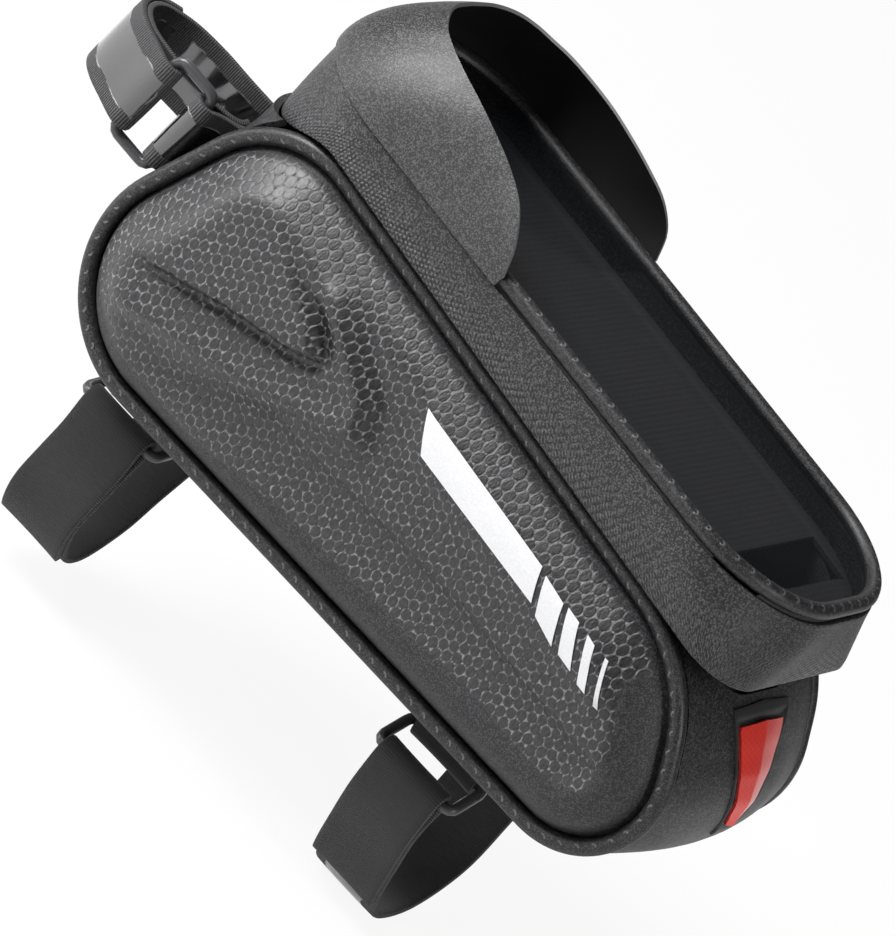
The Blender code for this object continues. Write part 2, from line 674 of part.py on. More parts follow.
def outline_top_z(x):
    """Height of the panel outline's upper side at x, its rear round included."""
    line = panel_outline(0.0)
    first = len(line) - PANEL_SIDE_STEPS[-1] - ARC_STEPS
    upper = [tuple(p) for p in line[first:]] + [tuple(line[0])]
    upper.sort()
    return float(np.interp(x, [p[0] for p in upper], [p[1] for p in upper]))


def tape_wall(name, edge_z, coil_z, coil_sign, material):
    """Tape on the zip's line with half a coil along the edge that meets the other tape."""
    line = np.array(zip_line_points())
    outer = []
    inner = []
    for k, (x, y) in enumerate(line):
        along = unit(line[min(k + 1, len(line) - 1)] - line[max(k - 1, 0)])
        inward = np.array([-along[1], along[0]])
        near = coil_z(x)
        bead = near + coil_sign * COIL_WIDTH
        far = edge_z(x)
        section = [(near, COIL_THICKNESS), (bead, COIL_THICKNESS), (bead + coil_sign * COIL_EDGE, TAPE_THICKNESS),
                   (far, TAPE_THICKNESS)]
        outer.append([(x - inward[0] * t / 2, y - inward[1] * t / 2, z) for z, t in section])
        inner.append([(x + inward[0] * t / 2, y + inward[1] * t / 2, z) for z, t in section])
    return slab_from_grids(name, np.array(outer), np.array(inner), material)


def zip_line_points():
    """Plan of the zip, open at the front: left side, rear round, right side."""
    points = []
    side_steps = ZIP_SIDE_STEPS
    straight_end = ZIP_REAR_X - ZIP_RADIUS
    for k in range(side_steps):
        points.append((ZIP_FRONT_X + (straight_end - ZIP_FRONT_X) * k / side_steps, -ZIP_HALF_WIDTH))
    for side in (-1, 1):
        steps = LID_ARC_STEPS
        for k in range(steps + 1):
            angle = 0.5 * math.pi * (k / steps if side < 0 else 1 - k / steps)
            points.append((straight_end + ZIP_RADIUS * math.sin(angle),
                           side * (ZIP_HALF_WIDTH - ZIP_RADIUS + ZIP_RADIUS * math.cos(angle))))
    for k in range(side_steps - 1, -1, -1):
        points.append((ZIP_FRONT_X + (straight_end - ZIP_FRONT_X) * k / side_steps, ZIP_HALF_WIDTH))
    return points


def build_lower_zip_tape():
    return tape_wall("lower_zip_tape", lambda x: outline_top_z(x) - TAPE_TUCK,
                     lambda x: zip_height(x) - 0.5 * COIL_SPLIT, -1, TAPE_CLOTH)


def build_upper_zip_tape():
    under_panel = POCKET_DEPTH + POCKET_PANEL_THICKNESS + CLEAR
    return tape_wall("upper_zip_tape", lambda x: lid_plane(x) - under_panel,
                     lambda x: zip_height(x) + 0.5 * COIL_SPLIT, 1, TAPE_CLOTH)


ZIP_SLOPE = (TOP_REAR_Z - TOP_FRONT_Z) / (TOP_REAR_X - TOP_FRONT_X)
ZIP_ALONG = unit((1.0, 0.0, ZIP_SLOPE))
ZIP_ACROSS = unit((-ZIP_SLOPE, 0.0, 1.0))


def build_slider(name, middle_x, facing):
    """Slider astride the coil on the right side: two plates, the web between them, and a fixed tab."""
    along = ZIP_ALONG
    up = ZIP_ACROSS
    out = np.array([0.0, 1.0, 0.0])
    middle = np.array([middle_x, ZIP_HALF_WIDTH, zip_height(middle_x)])
    inner_y = 0.5 * COIL_THICKNESS + CLEAR
    outer_y = inner_y + SLIDER_PLATE

    web = SLIDER_WEB / 2
    half = SLIDER_HEIGHT / 2
    profile = [(-half, -outer_y), (half, -outer_y), (half, -inner_y), (web, -inner_y), (web, inner_y),
               (half, inner_y), (half, outer_y), (-half, outer_y), (-half, inner_y), (-web, inner_y),
               (-web, -inner_y), (-half, -inner_y)]
    ends = []
    for end in (-0.5, 0.5):
        ends.append([middle + along * SLIDER_LENGTH * end + up * u + out * v for u, v in profile])
    count = len(profile)
    verts = ends[0] + ends[1]
    faces = [tuple(range(count)), tuple(range(count, 2 * count))]
    faces += [(k, (k + 1) % count, count + (k + 1) % count, count + k) for k in range(count)]
    body = add_object(name, verts, faces, SLIDER_METAL, 30.0)
    tab_start = middle + along * facing * SLIDER_TAB_OFFSET + out * (outer_y - SLIDER_TAB_SINK)
    tab = []
    for a, b in ((0.0, -1.0), (1.0, -1.0), (1.0, 1.0), (0.0, 1.0)):
        tab.append(tab_start + along * facing * a * SLIDER_TAB_LENGTH + up * b * SLIDER_TAB_HALF_WIDTH)
    bar = plate(name + "_tab", tab, out, SLIDER_TAB_THICKNESS, SLIDER_METAL)
    bar.hide_render = True
    bar.display_type = "WIRE"
    union = body.modifiers.new("tab", "BOOLEAN")
    union.operation = "UNION"
    union.object = bar
    return body


def smooth_route(points, step):
    """Points about step apart on a smooth curve through the given ones."""
    points = [np.array(p, float) for p in points]
    padded = [2 * points[0] - points[1]] + points + [2 * points[-1] - points[-2]]
    route = []
    for k in range(1, len(padded) - 2):
        a, b, c, d = padded[k - 1:k + 3]
        count = max(2, int(round(np.linalg.norm(c - b) / step)))
        for s in range(count):
            t = s / count
            route.append(0.5 * (2 * b + (c - a) * t + (2 * a - 5 * b + 4 * c - d) * t ** 2
                                + (3 * b - a - 3 * c + d) * t ** 3))
    route.append(points[-1])
    return np.array(route)


def hairpin(points, approach, bar, side, back_length, step):
    """Route in a plane that ends round a bar and lies back on itself. side: 1 turns left, -1 right."""
    approach = unit(approach)
    turned = side * np.array([-approach[1], approach[0]])
    wrap = RING_BAR_RADIUS + CLEAR + 0.5 * STRAP_THICKNESS
    last = np.array(bar) - turned * wrap
    lead_in = last - approach * RING_LEAD_IN
    inner = smooth_route(list(points) + [lead_in, last], step)
    arc = []
    for k in range(1, WRAP_STEPS):
        angle = side * math.pi * k / WRAP_STEPS
        spoke = -turned * wrap
        rotation = np.array([[math.cos(angle), -math.sin(angle)], [math.sin(angle), math.cos(angle)]])
        arc.append(np.array(bar) + rotation @ spoke)
    back = []
    travelled = 0.0
    layer = STRAP_THICKNESS + STRAP_LAYER_GAP
    for k in range(len(inner) - 1, 0, -1):
        along = unit(inner[min(k + 1, len(inner) - 1)] - inner[k - 1])
        normal = side * np.array([-along[1], along[0]])
        gap = layer + (2 * wrap - layer) * math.exp(-(travelled / RING_PINCH) ** 2)
        point = inner[k] + normal * gap
        spoke = point - np.array(bar)
        if np.linalg.norm(spoke) < wrap:
            point = np.array(bar) + unit(spoke) * wrap
        back.append(point)
        travelled += np.linalg.norm(inner[k] - inner[k - 1])
        if travelled > back_length:
            break
    return np.array(list(inner) + arc + back)


def ribbon(name, centres, widths, width, thickness, material):
    """Flat webbing along a route. widths holds the unit vector across it at each point."""
    centres = np.asarray(centres)
    outer = []
    inner = []
    for k in range(len(centres)):
        along = unit(centres[min(k + 1, len(centres) - 1)] - centres[max(k - 1, 0)])
        across = unit(widths[k])
        normal = unit(np.cross(along, across))
        across = np.cross(normal, along)
        edge = across * width / 2
        face = normal * thickness / 2
        outer.append([centres[k] - edge + face, centres[k] + edge + face])
        inner.append([centres[k] - edge - face, centres[k] + edge - face])
    return slab_from_grids(name, np.array(outer), np.array(inner), material)


RING_HALF_LENGTH = 0.5 * RING_INNER_LENGTH + RING_BAR_RADIUS
RING_HALF_GAP = 0.5 * RING_INNER_GAP + RING_BAR_RADIUS
RING_SPAN = 2 * RING_HALF_GAP


def build_ring(name, middle, long_axis, short_axis):
    corners = [(-RING_HALF_LENGTH, -RING_HALF_GAP), (RING_HALF_LENGTH, -RING_HALF_GAP),
               (RING_HALF_LENGTH, RING_HALF_GAP), (-RING_HALF_LENGTH, RING_HALF_GAP)]
    outline = rounded_outline(corners, [RING_CORNER] * 4, 0.0, 4, [1, 1, 1, 1])
    long_axis = unit(long_axis)
    short_axis = unit(short_axis)
    centres = [np.array(middle) + long_axis * u + short_axis * v for u, v in outline]
    return closed_tube(name, centres, np.cross(long_axis, short_axis), RING_BAR_RADIUS, 8, RING_PLASTIC)


UNDERSIDE = -CLEAR - 0.5 * STRAP_THICKNESS


def build_tube_strap(prefix, middle_x, near_bar, tilt, loop):
    """A strap under the bag: its loop, the ring it folds back through, and the tab that holds the ring."""
    far_bar = np.array(near_bar) + RING_SPAN * np.array([math.cos(tilt), math.sin(tilt)])
    route = hairpin(loop, (0.25, 1.0), near_bar, 1, TUBE_STRAP_BACK, TUBE_STRAP_STEP)
    across = np.array([1.0, 0.0, 0.0])
    centres = [(middle_x, y, min(z, UNDERSIDE)) for y, z in route]
    ribbon(prefix + "_strap", centres, [across] * len(centres), STRAP_WIDTH, STRAP_THICKNESS, WEBBING)
    middle = (middle_x, 0.5 * (near_bar[0] + far_bar[0]), 0.5 * (near_bar[1] + far_bar[1]))
    build_ring(prefix + "_ring", middle, (1, 0, 0), (0, math.cos(tilt), math.sin(tilt)))
    rise = far_bar[1] - UNDERSIDE
    tab_points = [(far_bar[0] + 16 * MM, UNDERSIDE), (far_bar[0] + 10 * MM, UNDERSIDE),
                  (far_bar[0] + 4 * MM, UNDERSIDE + 0.12 * rise)]
    tab = hairpin(tab_points, (-0.45, -1.0), far_bar, 1, TUBE_TAB_BACK, TUBE_TAB_STEP)
    centres = [(middle_x, y, min(z, UNDERSIDE)) for y, z in tab]
    ribbon(prefix + "_ring_tab", centres, [across] * len(centres), STRAP_WIDTH, STRAP_THICKNESS, WEBBING)


def point_list(pairs):
    return [(a * MM, b * MM) for a, b in pairs]


FRONT_TUBE_LOOP = point_list([(14, 0), (22, 0), (26, -6), (22, -20), (10, -38), (3, -49), (-9, -58), (-20, -57),
                              (-26, -47), (-24.5, -37), (-21.5, -27)])
REAR_TUBE_LOOP = point_list([(18, 0), (27, 0), (33, -7), (35, -22), (34, -40), (30, -57), (14, -68), (-6, -68),
                             (-16, -60), (-22, -46), (-25.5, -34)])


def under_bag(loop):
    """Sets the sewn end of a loop, its first two points, flat against the underside."""
    return [(y, UNDERSIDE) for y, _ in loop[:2]] + list(loop[2:])


FRONT_SLOPE_X = TOP_FRONT_X - FOOT_FRONT_X
FRONT_UP = unit((FRONT_SLOPE_X, 0.0, TOP_FRONT_Z))
LOOP_LEAN = math.radians(8.0)
LOOP_UP = np.array([math.sin(LOOP_LEAN), 0.0, math.cos(LOOP_LEAN)])


def front_face_x(y, z):
    """The gusset's outer face on the front at y and z, between its two corners."""
    line = FOOT_FRONT_X + FRONT_SLOPE_X * z / TOP_FRONT_Z
    return line - GUSSET_CROWN * (1 - (y / GUSSET_HALF_WIDTH) ** 2) * FRONT_UP[2]


def build_head_strap():
    """The strap for the head tube: a loop that stands nearly upright in front, with its ring and tab."""
    inner_x = front_face_x(RING_SIDE_Y, HEAD_STRAP_Z) - RING_OFF_FACE

    def height(x):
        return HEAD_STRAP_Z + (inner_x - x) * math.tan(LOOP_LEAN)

    def lay(y):
        x = inner_x
        for _ in range(4):
            x = front_face_x(y, height(x)) - (HEAD_SEAT_GAP + 0.5 * STRAP_THICKNESS) / FRONT_UP[2]
        return (x, y)

    def cross(gone):
        share = smooth_step(gone)
        return unit(FRONT_UP * (1 - share) + LOOP_UP * share)

    toward = unit((1.0, 0.16))
    inner_bar = np.array((inner_x, RING_SIDE_Y))
    outer_bar = inner_bar - RING_SPAN * toward
    start = front_face_x(0.0, HEAD_STRAP_Z)
    loop = [lay(16 * MM), lay(9 * MM), (start - 5 * MM, 2.5 * MM), (start - 14 * MM, -1.5 * MM),
            (start - 24 * MM, -4 * MM), (start - 34 * MM, -8.5 * MM), (start - 41 * MM, -17 * MM),
            (start - 40 * MM, -26 * MM), (start - 33 * MM, -31.5 * MM)]
    route = hairpin(loop, (1.0, -0.05), outer_bar, -1, HEAD_STRAP_BACK, HEAD_STRAP_STEP)
    centres = [(x, y, height(x)) for x, y in route]
    steps = np.linalg.norm(np.diff(route, axis=0), axis=1)
    travelled = np.concatenate([[0.0], np.cumsum(steps)])
    widths = [cross((distance - HEAD_STRAP_SEWN) / HEAD_STRAP_TURN) for distance in travelled]
    ribbon("head_tube_strap", centres, widths, STRAP_WIDTH, STRAP_THICKNESS, WEBBING)
    middle = 0.5 * (outer_bar + inner_bar)
    build_ring("head_tube_ring", (middle[0], middle[1], height(middle[0])), LOOP_UP,
               (toward[0], toward[1], -toward[0] * math.tan(LOOP_LEAN)))
    tab_sewn_y = -22 * MM
    tab_points = [lay(-10 * MM), lay(-16 * MM), lay(tab_sewn_y)]
    tab = hairpin(tab_points, (-0.25, -1.0), inner_bar, -1, HEAD_TAB_BACK, HEAD_TAB_STEP)
    centres = [(x, y, height(x)) for x, y in tab]
    widths = [cross((y - tab_sewn_y) / (RING_SIDE_Y - tab_sewn_y)) for x, y in tab]
    ribbon("head_tube_ring_tab", centres, widths, STRAP_WIDTH, STRAP_THICKNESS, WEBBING)


def rear_face(y, z):
    """The gusset's outer face on the rear, and its direction out, at y and z."""
    rows = gusset_row(y)
    rear = rows[len(rows) // 2:]
    first = int(np.argmin(rear[:, 1]))
    rear = rear[first:]
    return float(np.interp(z, rear[:, 1], rear[:, 0]))


def badge_layer(name, scale, gap, thickness, material):
    """A shield-shaped plate that follows the crowned rear face, gap outside it."""
    outer = []
    inner = []
    for i in range(BADGE_GRID):
        share = i / (BADGE_GRID - 1)
        z = BADGE_Z + BADGE_HEIGHT * scale * (share - 0.5)
        half = (BADGE_FOOT_HALF + (BADGE_TOP_HALF - BADGE_FOOT_HALF) * min(1.0, share / BADGE_SHOULDER)) * scale
        line_out = []
        line_in = []
        for j in range(BADGE_GRID):
            across = 2 * j / (BADGE_GRID - 1) - 1
            y = half * across
            peak = BADGE_PEAK * BADGE_HEIGHT * scale * max(0.0, share - BADGE_SHOULDER) / (1 - BADGE_SHOULDER)
            height = z - peak * abs(across)
            rise = rear_face(y, height + SLOPE_SPAN) - rear_face(y, height - SLOPE_SPAN)
            slope = rise / (2 * SLOPE_SPAN)
            swing = rear_face(y + SLOPE_SPAN, height) - rear_face(y - SLOPE_SPAN, height)
            turn = swing / (2 * SLOPE_SPAN)
            out = unit((1.0, -turn, -slope))
            base = np.array((rear_face(y, height), y, height))
            line_in.append(base + out * gap)
            line_out.append(base + out * (gap + thickness))
        outer.append(line_out)
        inner.append(line_in)
    return slab_from_grids(name, np.array(outer), np.array(inner), material)


build_side_shell("left_side_shell", -1)
build_side_shell("right_side_shell", 1)
build_side_piping("left_piping", -1)
build_side_piping("right_piping", 1)
build_gusset()
build_base_board()
build_lower_zip_tape()
build_slider("front_zip_slider", SLIDER_REST_X - 0.5 * SLIDER_LENGTH - CLEAR, -1)
build_slider("rear_zip_slider", SLIDER_REST_X + 0.5 * SLIDER_LENGTH + CLEAR, 1)
badge_layer("rear_badge_plate", 1.0, 2 * CLEAR, BADGE_THICKNESS, BADGE_RUBBER)
badge_layer("rear_badge_insert", BADGE_INSERT_SCALE, 4 * CLEAR + BADGE_THICKNESS, BADGE_INSERT_THICKNESS, BADGE_RED)
build_tube_strap("front_tube", FRONT_TUBE_STRAP_X, (-21 * MM, -16 * MM), math.radians(8.0),
                 under_bag(FRONT_TUBE_LOOP))
build_tube_strap("rear_tube", REAR_TUBE_STRAP_X, (-26 * MM, -21.5 * MM), math.radians(26.0),
                 under_bag(REAR_TUBE_LOOP))
build_head_strap()
for build in (build_lid_band, build_lid_piping, build_window_film, build_pocket_panel, build_sun_visor,
              build_upper_zip_tape):
    hang_on_lid(build())
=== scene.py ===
"""Dresses the phone bag's solids: moulded side shells, sewn leather, clear window, webbing straps.

Metres, +X towards the rider, +Y to the bike's right, +Z up. Every piece stands where its solid stands,
so the lines that shape it repeat the part's own measures.
"""

import math

import bmesh
import bpy
import numpy as np
from mathutils import Matrix, Vector


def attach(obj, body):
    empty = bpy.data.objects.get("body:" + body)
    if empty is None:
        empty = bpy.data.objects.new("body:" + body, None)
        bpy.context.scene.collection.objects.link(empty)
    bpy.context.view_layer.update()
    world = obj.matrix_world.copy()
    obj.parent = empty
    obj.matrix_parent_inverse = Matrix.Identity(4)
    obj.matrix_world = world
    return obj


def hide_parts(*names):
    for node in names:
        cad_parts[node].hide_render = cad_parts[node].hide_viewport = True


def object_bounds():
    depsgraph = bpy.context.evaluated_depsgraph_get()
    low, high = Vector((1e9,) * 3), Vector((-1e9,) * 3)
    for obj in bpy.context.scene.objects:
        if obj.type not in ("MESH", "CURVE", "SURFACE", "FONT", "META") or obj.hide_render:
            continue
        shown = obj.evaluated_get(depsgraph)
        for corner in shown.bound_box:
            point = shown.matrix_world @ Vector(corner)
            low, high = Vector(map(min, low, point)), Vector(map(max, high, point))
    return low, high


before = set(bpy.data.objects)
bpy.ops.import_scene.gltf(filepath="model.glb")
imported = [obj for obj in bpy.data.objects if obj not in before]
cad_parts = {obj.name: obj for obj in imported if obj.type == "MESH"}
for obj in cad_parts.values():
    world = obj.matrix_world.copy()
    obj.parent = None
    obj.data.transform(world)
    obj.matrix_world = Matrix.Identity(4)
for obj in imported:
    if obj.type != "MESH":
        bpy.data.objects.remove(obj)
SOLID_BOX = [[float(value) for value in corner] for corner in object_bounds()]

bl_info = {
    "name": "Bicycle phone bag",
    "version": (1, 0, 0),
    "blender": (4, 5, 0),
    "location": "View3D > Sidebar > Phone bag",
    "description": "Builds the detailed pieces of a bicycle phone bag over its solids",
    "category": "Mesh",
}

MM = 0.001
CLEAR = 0.3 * MM

# Side panel: corners of the line of its piping, from the top front round by the foot, and their radii
PANEL_CORNERS = [(-77.2 * MM, 94.0 * MM), (-118.0 * MM, 0.0), (140.0 * MM, 0.0), (107.0 * MM, 65.1 * MM)]
PANEL_RADII = [32.6 * MM, 34.7 * MM, 26.0 * MM, 45.0 * MM]
BODY_HALF_WIDTH = 40.0 * MM
PIPING_RADIUS = 2.2 * MM
GUSSET_HALF_WIDTH = BODY_HALF_WIDTH - PIPING_RADIUS - CLEAR
GUSSET_CROWN = 4.8 * MM
GUSSET_THICKNESS = 2.0 * MM
SHELL_RIM_INSET = PIPING_RADIUS + CLEAR
SHELL_RIM_Y = BODY_HALF_WIDTH + 1.0 * MM
DOME_HEIGHT = 9.0 * MM
DOME_RUN = 15.0 * MM
SEAM_CHANNEL = 1.9 * MM
SEAM_CHANNEL_WIDTH = 1.7 * MM
SKIN_THICKNESS = 2.4 * MM

# Relief of the shells: heights of its forms, and the widths over which they rise, in millimetres
CREST_HEIGHT, CREST_RISE = 3.2, 8.0
RIDGE_HEIGHT, RIDGE_WIDTH = 1.5, 3.4
ARROW_HEIGHT, ARROW_FADE, ARROW_RISE = 3.6, 32.0, 2.0
GROOVE_DEPTH, GROOVE_WIDTH = 1.7, 1.8
STRIP_HEIGHT, STRIP_RISE = 1.8, 7.0
BELLY_DROP, BELLY_RISE = 3.4, 7.5

# The printed cells start this far inside the rim and fade in over this width, in millimetres
FIELD_MARGIN, FIELD_FADE = 1.6, 1.4

# Outlines of that relief and of the print, as x and z in millimetres
ARROW_FACET = [(-92, 36), (-74.6, 39.5), (-54.3, 45.8), (-29, 51.5), (-22.5, 54.5), (-28.5, 60.5),
               (-38, 64.5), (-53, 72), (-62, 80), (-84, 76)]
ARROW_FOOT = [(-92, 36), (-74.6, 39.5), (-54.3, 45.8), (-22.5, 53.5)]
CREST_FACET = [(-92, 17), (-65, 24.5), (-47, 28.5), (-30, 33), (-17, 37.2), (-2, 41.4), (2, 45), (-2.5, 56),
               (-11, 62), (-27, 72), (-60, 80), (-84, 68)]
CREST_RIDGE = [(-86, 24), (-65, 28.8), (-47.1, 32.8), (-29.7, 37.3), (-16.8, 41.6), (-3.1, 45.9),
               (-6.3, 54.7), (-14.4, 58.9), (-30, 70)]
STRIP_FACET = [(8, 70), (14, 53), (96, 40), (102, 50), (70, 62)]
BELLY_LINE = [(-75, 18), (-24, 34.4), (15, 36.6), (55, 36.6), (100, 33)]
CELL_FIELD = [(-140, 60), (-104, 40), (-92, 22), (-73.7, 11.2), (-42.7, 9.0), (-6.1, 14.3), (32.5, 16.4),
              (71.5, 17.6), (96.3, 16.3), (108.1, 20.7), (106.5, 35.7), (97, 52), (108, 68), (60, 140)]
PRINTED_STRIP = [(9.2, 66.3), (16.5, 56.1), (65.6, 49.8), (61.1, 58.5)]
PRINTED_SLASHES = [[(63.5, 57.6), (68.7, 48.1), (77.3, 45.4), (72.1, 55.8)],
                   [(73.8, 56.0), (80.1, 45.3), (85.6, 44.4), (78.6, 55.2)],
                   [(82.5, 54.6), (89.2, 43.2), (92.4, 42.9), (85.8, 53.8)],
                   [(89.9, 53.3), (96.1, 42.0), (97.6, 41.9), (91.1, 53.2)]]
PRINT_LIFT = 0.28 * MM
PRINT_THICKNESS = 0.16 * MM

# Lid: the line of its piping, its plane and the band below it
LID_FRONT_X = -85.5 * MM
LID_REAR_X = 116.5 * MM
LID_HALF_WIDTH = 41.2 * MM
LID_CORNER_RADIUS = 33.0 * MM
LID_PIPING_RADIUS = 2.1 * MM
BAND_TOP_OFFSET = 2.6 * MM
BAND_THICKNESS = 1.8 * MM
BAND_FOOT_FRONT_X = -89.4 * MM
BAND_FOOT_REAR_X = 119.6 * MM
BAND_FOOT_HALF_WIDTH = 44.3 * MM
BAND_REAR_RADIUS = 19.0 * MM
BAND_GAP = 3.0 * MM
BAND_FRONT_DROP = 12.8 * MM
BAND_FRONT_RUN = 32.0 * MM
SEAM_GAP = 0.5 * MM
FILM_THICKNESS = 0.8 * MM
POCKET_DEPTH = 8.8 * MM
POCKET_PANEL_THICKNESS = 1.2 * MM
POCKET_SLOT_FRONT_X = 88.5 * MM
POCKET_SLOT_REAR_X = 102.5 * MM
POCKET_SLOT_HALF_WIDTH = 33.0 * MM

# Sun visor: one half of its free edge, as x, distance from the middle and height above the lid
VISOR_THICKNESS = 1.0 * MM
VISOR_LEAN_POWER = 1.8
VISOR_RIM = [(0.8, 44.6, 1.5), (-1.2, 44.6, 8), (-4, 43.6, 12.1), (-8.4, 41.6, 15.9), (-14, 39.6, 18.4),
             (-23, 37.8, 21), (-35, 36, 23.2), (-48.9, 32.6, 24.5), (-56.5, 29, 24.8), (-61.5, 25.5, 25.2),
             (-66, 19.5, 25.6), (-69.5, 11, 25.2), (-70.7, 0, 24.7)]

# Zip line, which the gusset's rear edge follows
ZIP_REAR_X = LID_REAR_X - 7.0 * MM
ZIP_RADIUS = LID_CORNER_RADIUS - 4.7 * MM
GUSSET_PAST_ZIP = 3.2 * MM
ZIP_FRONT_X = -54.0 * MM
ZIP_HALF_WIDTH = LID_HALF_WIDTH - 4.7 * MM
ZIP_RISE = 5.2 * MM
ZIP_COIL_RADIUS = 0.78 * MM

# Straps and rings
STRAP_WIDTH = 23.8 * MM
STRAP_THICKNESS = 2.0 * MM
STRAP_LAYER_GAP = 0.35 * MM
STRAP_CUP = 0.25 * MM
FILM_LENGTH = 40.0 * MM
FILM_BREAK = 6.0 * MM
RING_BAR_RADIUS = 1.6 * MM
RING_HALF_LENGTH = 12.9 * MM + RING_BAR_RADIUS
RING_HALF_GAP = 5.6 * MM + RING_BAR_RADIUS
RING_SPAN = 2 * RING_HALF_GAP
RING_CORNER = 2.6 * MM
UNDERSIDE = -CLEAR - 0.5 * STRAP_THICKNESS
FRONT_TUBE_STRAP_X = -69.0 * MM
REAR_TUBE_STRAP_X = 62.5 * MM
FRONT_TUBE_LOOP = [(14, -1.3), (22, -1.3), (26, -6), (22, -20), (10, -38), (3, -49), (-9, -58), (-20, -57),
                   (-26, -47), (-24.5, -37), (-21.5, -27)]
REAR_TUBE_LOOP = [(18, -1.3), (27, -1.3), (33, -7), (35, -22), (34, -40), (30, -57), (14, -68), (-6, -68),
                  (-16, -60), (-22, -46), (-25.5, -34)]
HEAD_STRAP_Z = 62.5 * MM
HEAD_SEAT_GAP = 0.6 * MM
RING_SIDE_Y = -33.0 * MM
RING_OFF_FACE = 9.6 * MM
LOOP_LEAN = math.radians(8.0)

# Rear badge
BADGE_GAP = 0.6 * MM
BADGE_THICKNESS = 2.2 * MM
BADGE_INSERT_THICKNESS = 1.0 * MM
BADGE_Z = 37.5 * MM
BADGE_HEIGHT = 34.0 * MM
BADGE_TOP_HALF = 16.0 * MM
BADGE_FOOT_HALF = 3.5 * MM
BADGE_SHOULDER = 0.92
BADGE_PEAK = 0.03

# Camera that took the photograph: its place, and its right, up and back directions
CAMERA_PLACE = (0.52431, -1.51372, 0.69170)
CAMERA_RIGHT = (0.660304, 0.476837, 0.580194)
CAMERA_UP = (-0.688709, 0.076414, 0.721000)
CAMERA_BACK = (0.299465, -0.875664, 0.378858)
CAMERA_LENS_MM = 245.18

BAG = "bag"
LID = "lid"


# Lines and surfaces

def unit(vector):
    vector = np.asarray(vector, float)
    return vector / np.linalg.norm(vector)


def smooth_step(value):
    value = np.clip(value, 0.0, 1.0)
    return value * value * (3 - 2 * value)


def inset_corners(corners, inset):
    """The corners of a counterclockwise polygon after each side moves inwards by inset."""
    moved = []
    for k, corner in enumerate(corners):
        here = np.array(corner)
        into = unit(here - np.array(corners[k - 1]))
        out = unit(np.array(corners[(k + 1) % len(corners)]) - here)
        turn = into[0] * out[1] - into[1] * out[0]
        moved.append(here + inset * (out - into) / turn)
    return moved


def rounded_outline(corners, radii, inset, arc_steps, side_steps):
    """Points round a counterclockwise polygon with round corners: an arc, then its side, for each corner."""
    corners = inset_corners(corners, inset)
    count = len(corners)
    arcs = []
    for k in range(count):
        here = corners[k]
        back = unit(corners[k - 1] - here)
        ahead = unit(corners[(k + 1) % count] - here)
        half = 0.5 * math.acos(float(np.clip(back @ ahead, -1, 1)))
        radius = max(radii[k] - inset, 0.15 * radii[k])
        centre = here + unit(back + ahead) * radius / math.sin(half)
        first = here + back * radius / math.tan(half) - centre
        sweep = math.pi - 2 * half
        arc = []
        for step in range(arc_steps + 1):
            angle = sweep * step / arc_steps
            rotation = np.array([[math.cos(angle), -math.sin(angle)], [math.sin(angle), math.cos(angle)]])
            arc.append(centre + rotation @ first)
        arcs.append(arc)
    points = []
    for k in range(count):
        points += arcs[k]
        start = arcs[k][-1]
        end = arcs[(k + 1) % count][0]
        for step in range(1, side_steps[k]):
            points.append(start + (end - start) * step / side_steps[k])
    return np.array(points)


def panel_line(inset):
    return rounded_outline(PANEL_CORNERS, PANEL_RADII, inset, 24, [6, 50, 6, 50])


PLAN_ARC_STEPS = 20
PLAN_END_STEPS = 6


def plan_outline(front_x, rear_x, half_width, front_radius, rear_radius):
    """Round-cornered plan shape, from the front right corner round by the left side."""
    corners = [(front_x, half_width), (front_x, -half_width), (rear_x, -half_width), (rear_x, half_width)]
    radii = [front_radius, front_radius, rear_radius, rear_radius]
    return rounded_outline(corners, radii, 0.0, PLAN_ARC_STEPS, [PLAN_END_STEPS, 44, PLAN_END_STEPS, 44])


def lid_outline(offset):
    radius = LID_CORNER_RADIUS + offset
    return plan_outline(LID_FRONT_X - offset, LID_REAR_X + offset, LID_HALF_WIDTH + offset, radius, radius)


def top_line(x):
    """Height of the side panel's straight top edge at x."""
    (front_x, front_z), (rear_x, rear_z) = PANEL_CORNERS[0], PANEL_CORNERS[3]
    return front_z + (rear_z - front_z) / (rear_x - front_x) * (x - front_x)


LID_FRONT_Z = top_line(LID_FRONT_X) + 17.6 * MM
LID_REAR_Z = top_line(LID_REAR_X) + 27.3 * MM
LID_SLOPE = (LID_REAR_Z - LID_FRONT_Z) / (LID_REAR_X - LID_FRONT_X)
LID_UP = unit((-LID_SLOPE, 0.0, 1.0))


def lid_plane(x):
    return LID_FRONT_Z + LID_SLOPE * (x - LID_FRONT_X)


def band_foot_z(x):
    """Height of the band's lower edge: close above the side piping, and lower round the front."""
    drop = BAND_FRONT_DROP * smooth_step((BAND_FOOT_FRONT_X + BAND_FRONT_RUN - x) / BAND_FRONT_RUN)
    return top_line(x) + BAND_GAP - drop


def lengths_along(points):
    """Distance from the first point to each point of a polyline."""
    steps = np.linalg.norm(np.diff(np.asarray(points), axis=0), axis=1)
    return np.concatenate([[0.0], np.cumsum(steps)])


def sample(points, shares):
    """Points of a polyline at these shares of its length."""
    points = np.asarray(points)
    length = lengths_along(points)
    at = np.asarray(shares) * length[-1]
    return np.stack([np.interp(at, length, points[:, axis]) for axis in range(points.shape[1])], 1)


def closed(points):
    return np.concatenate([points, points[:1]])


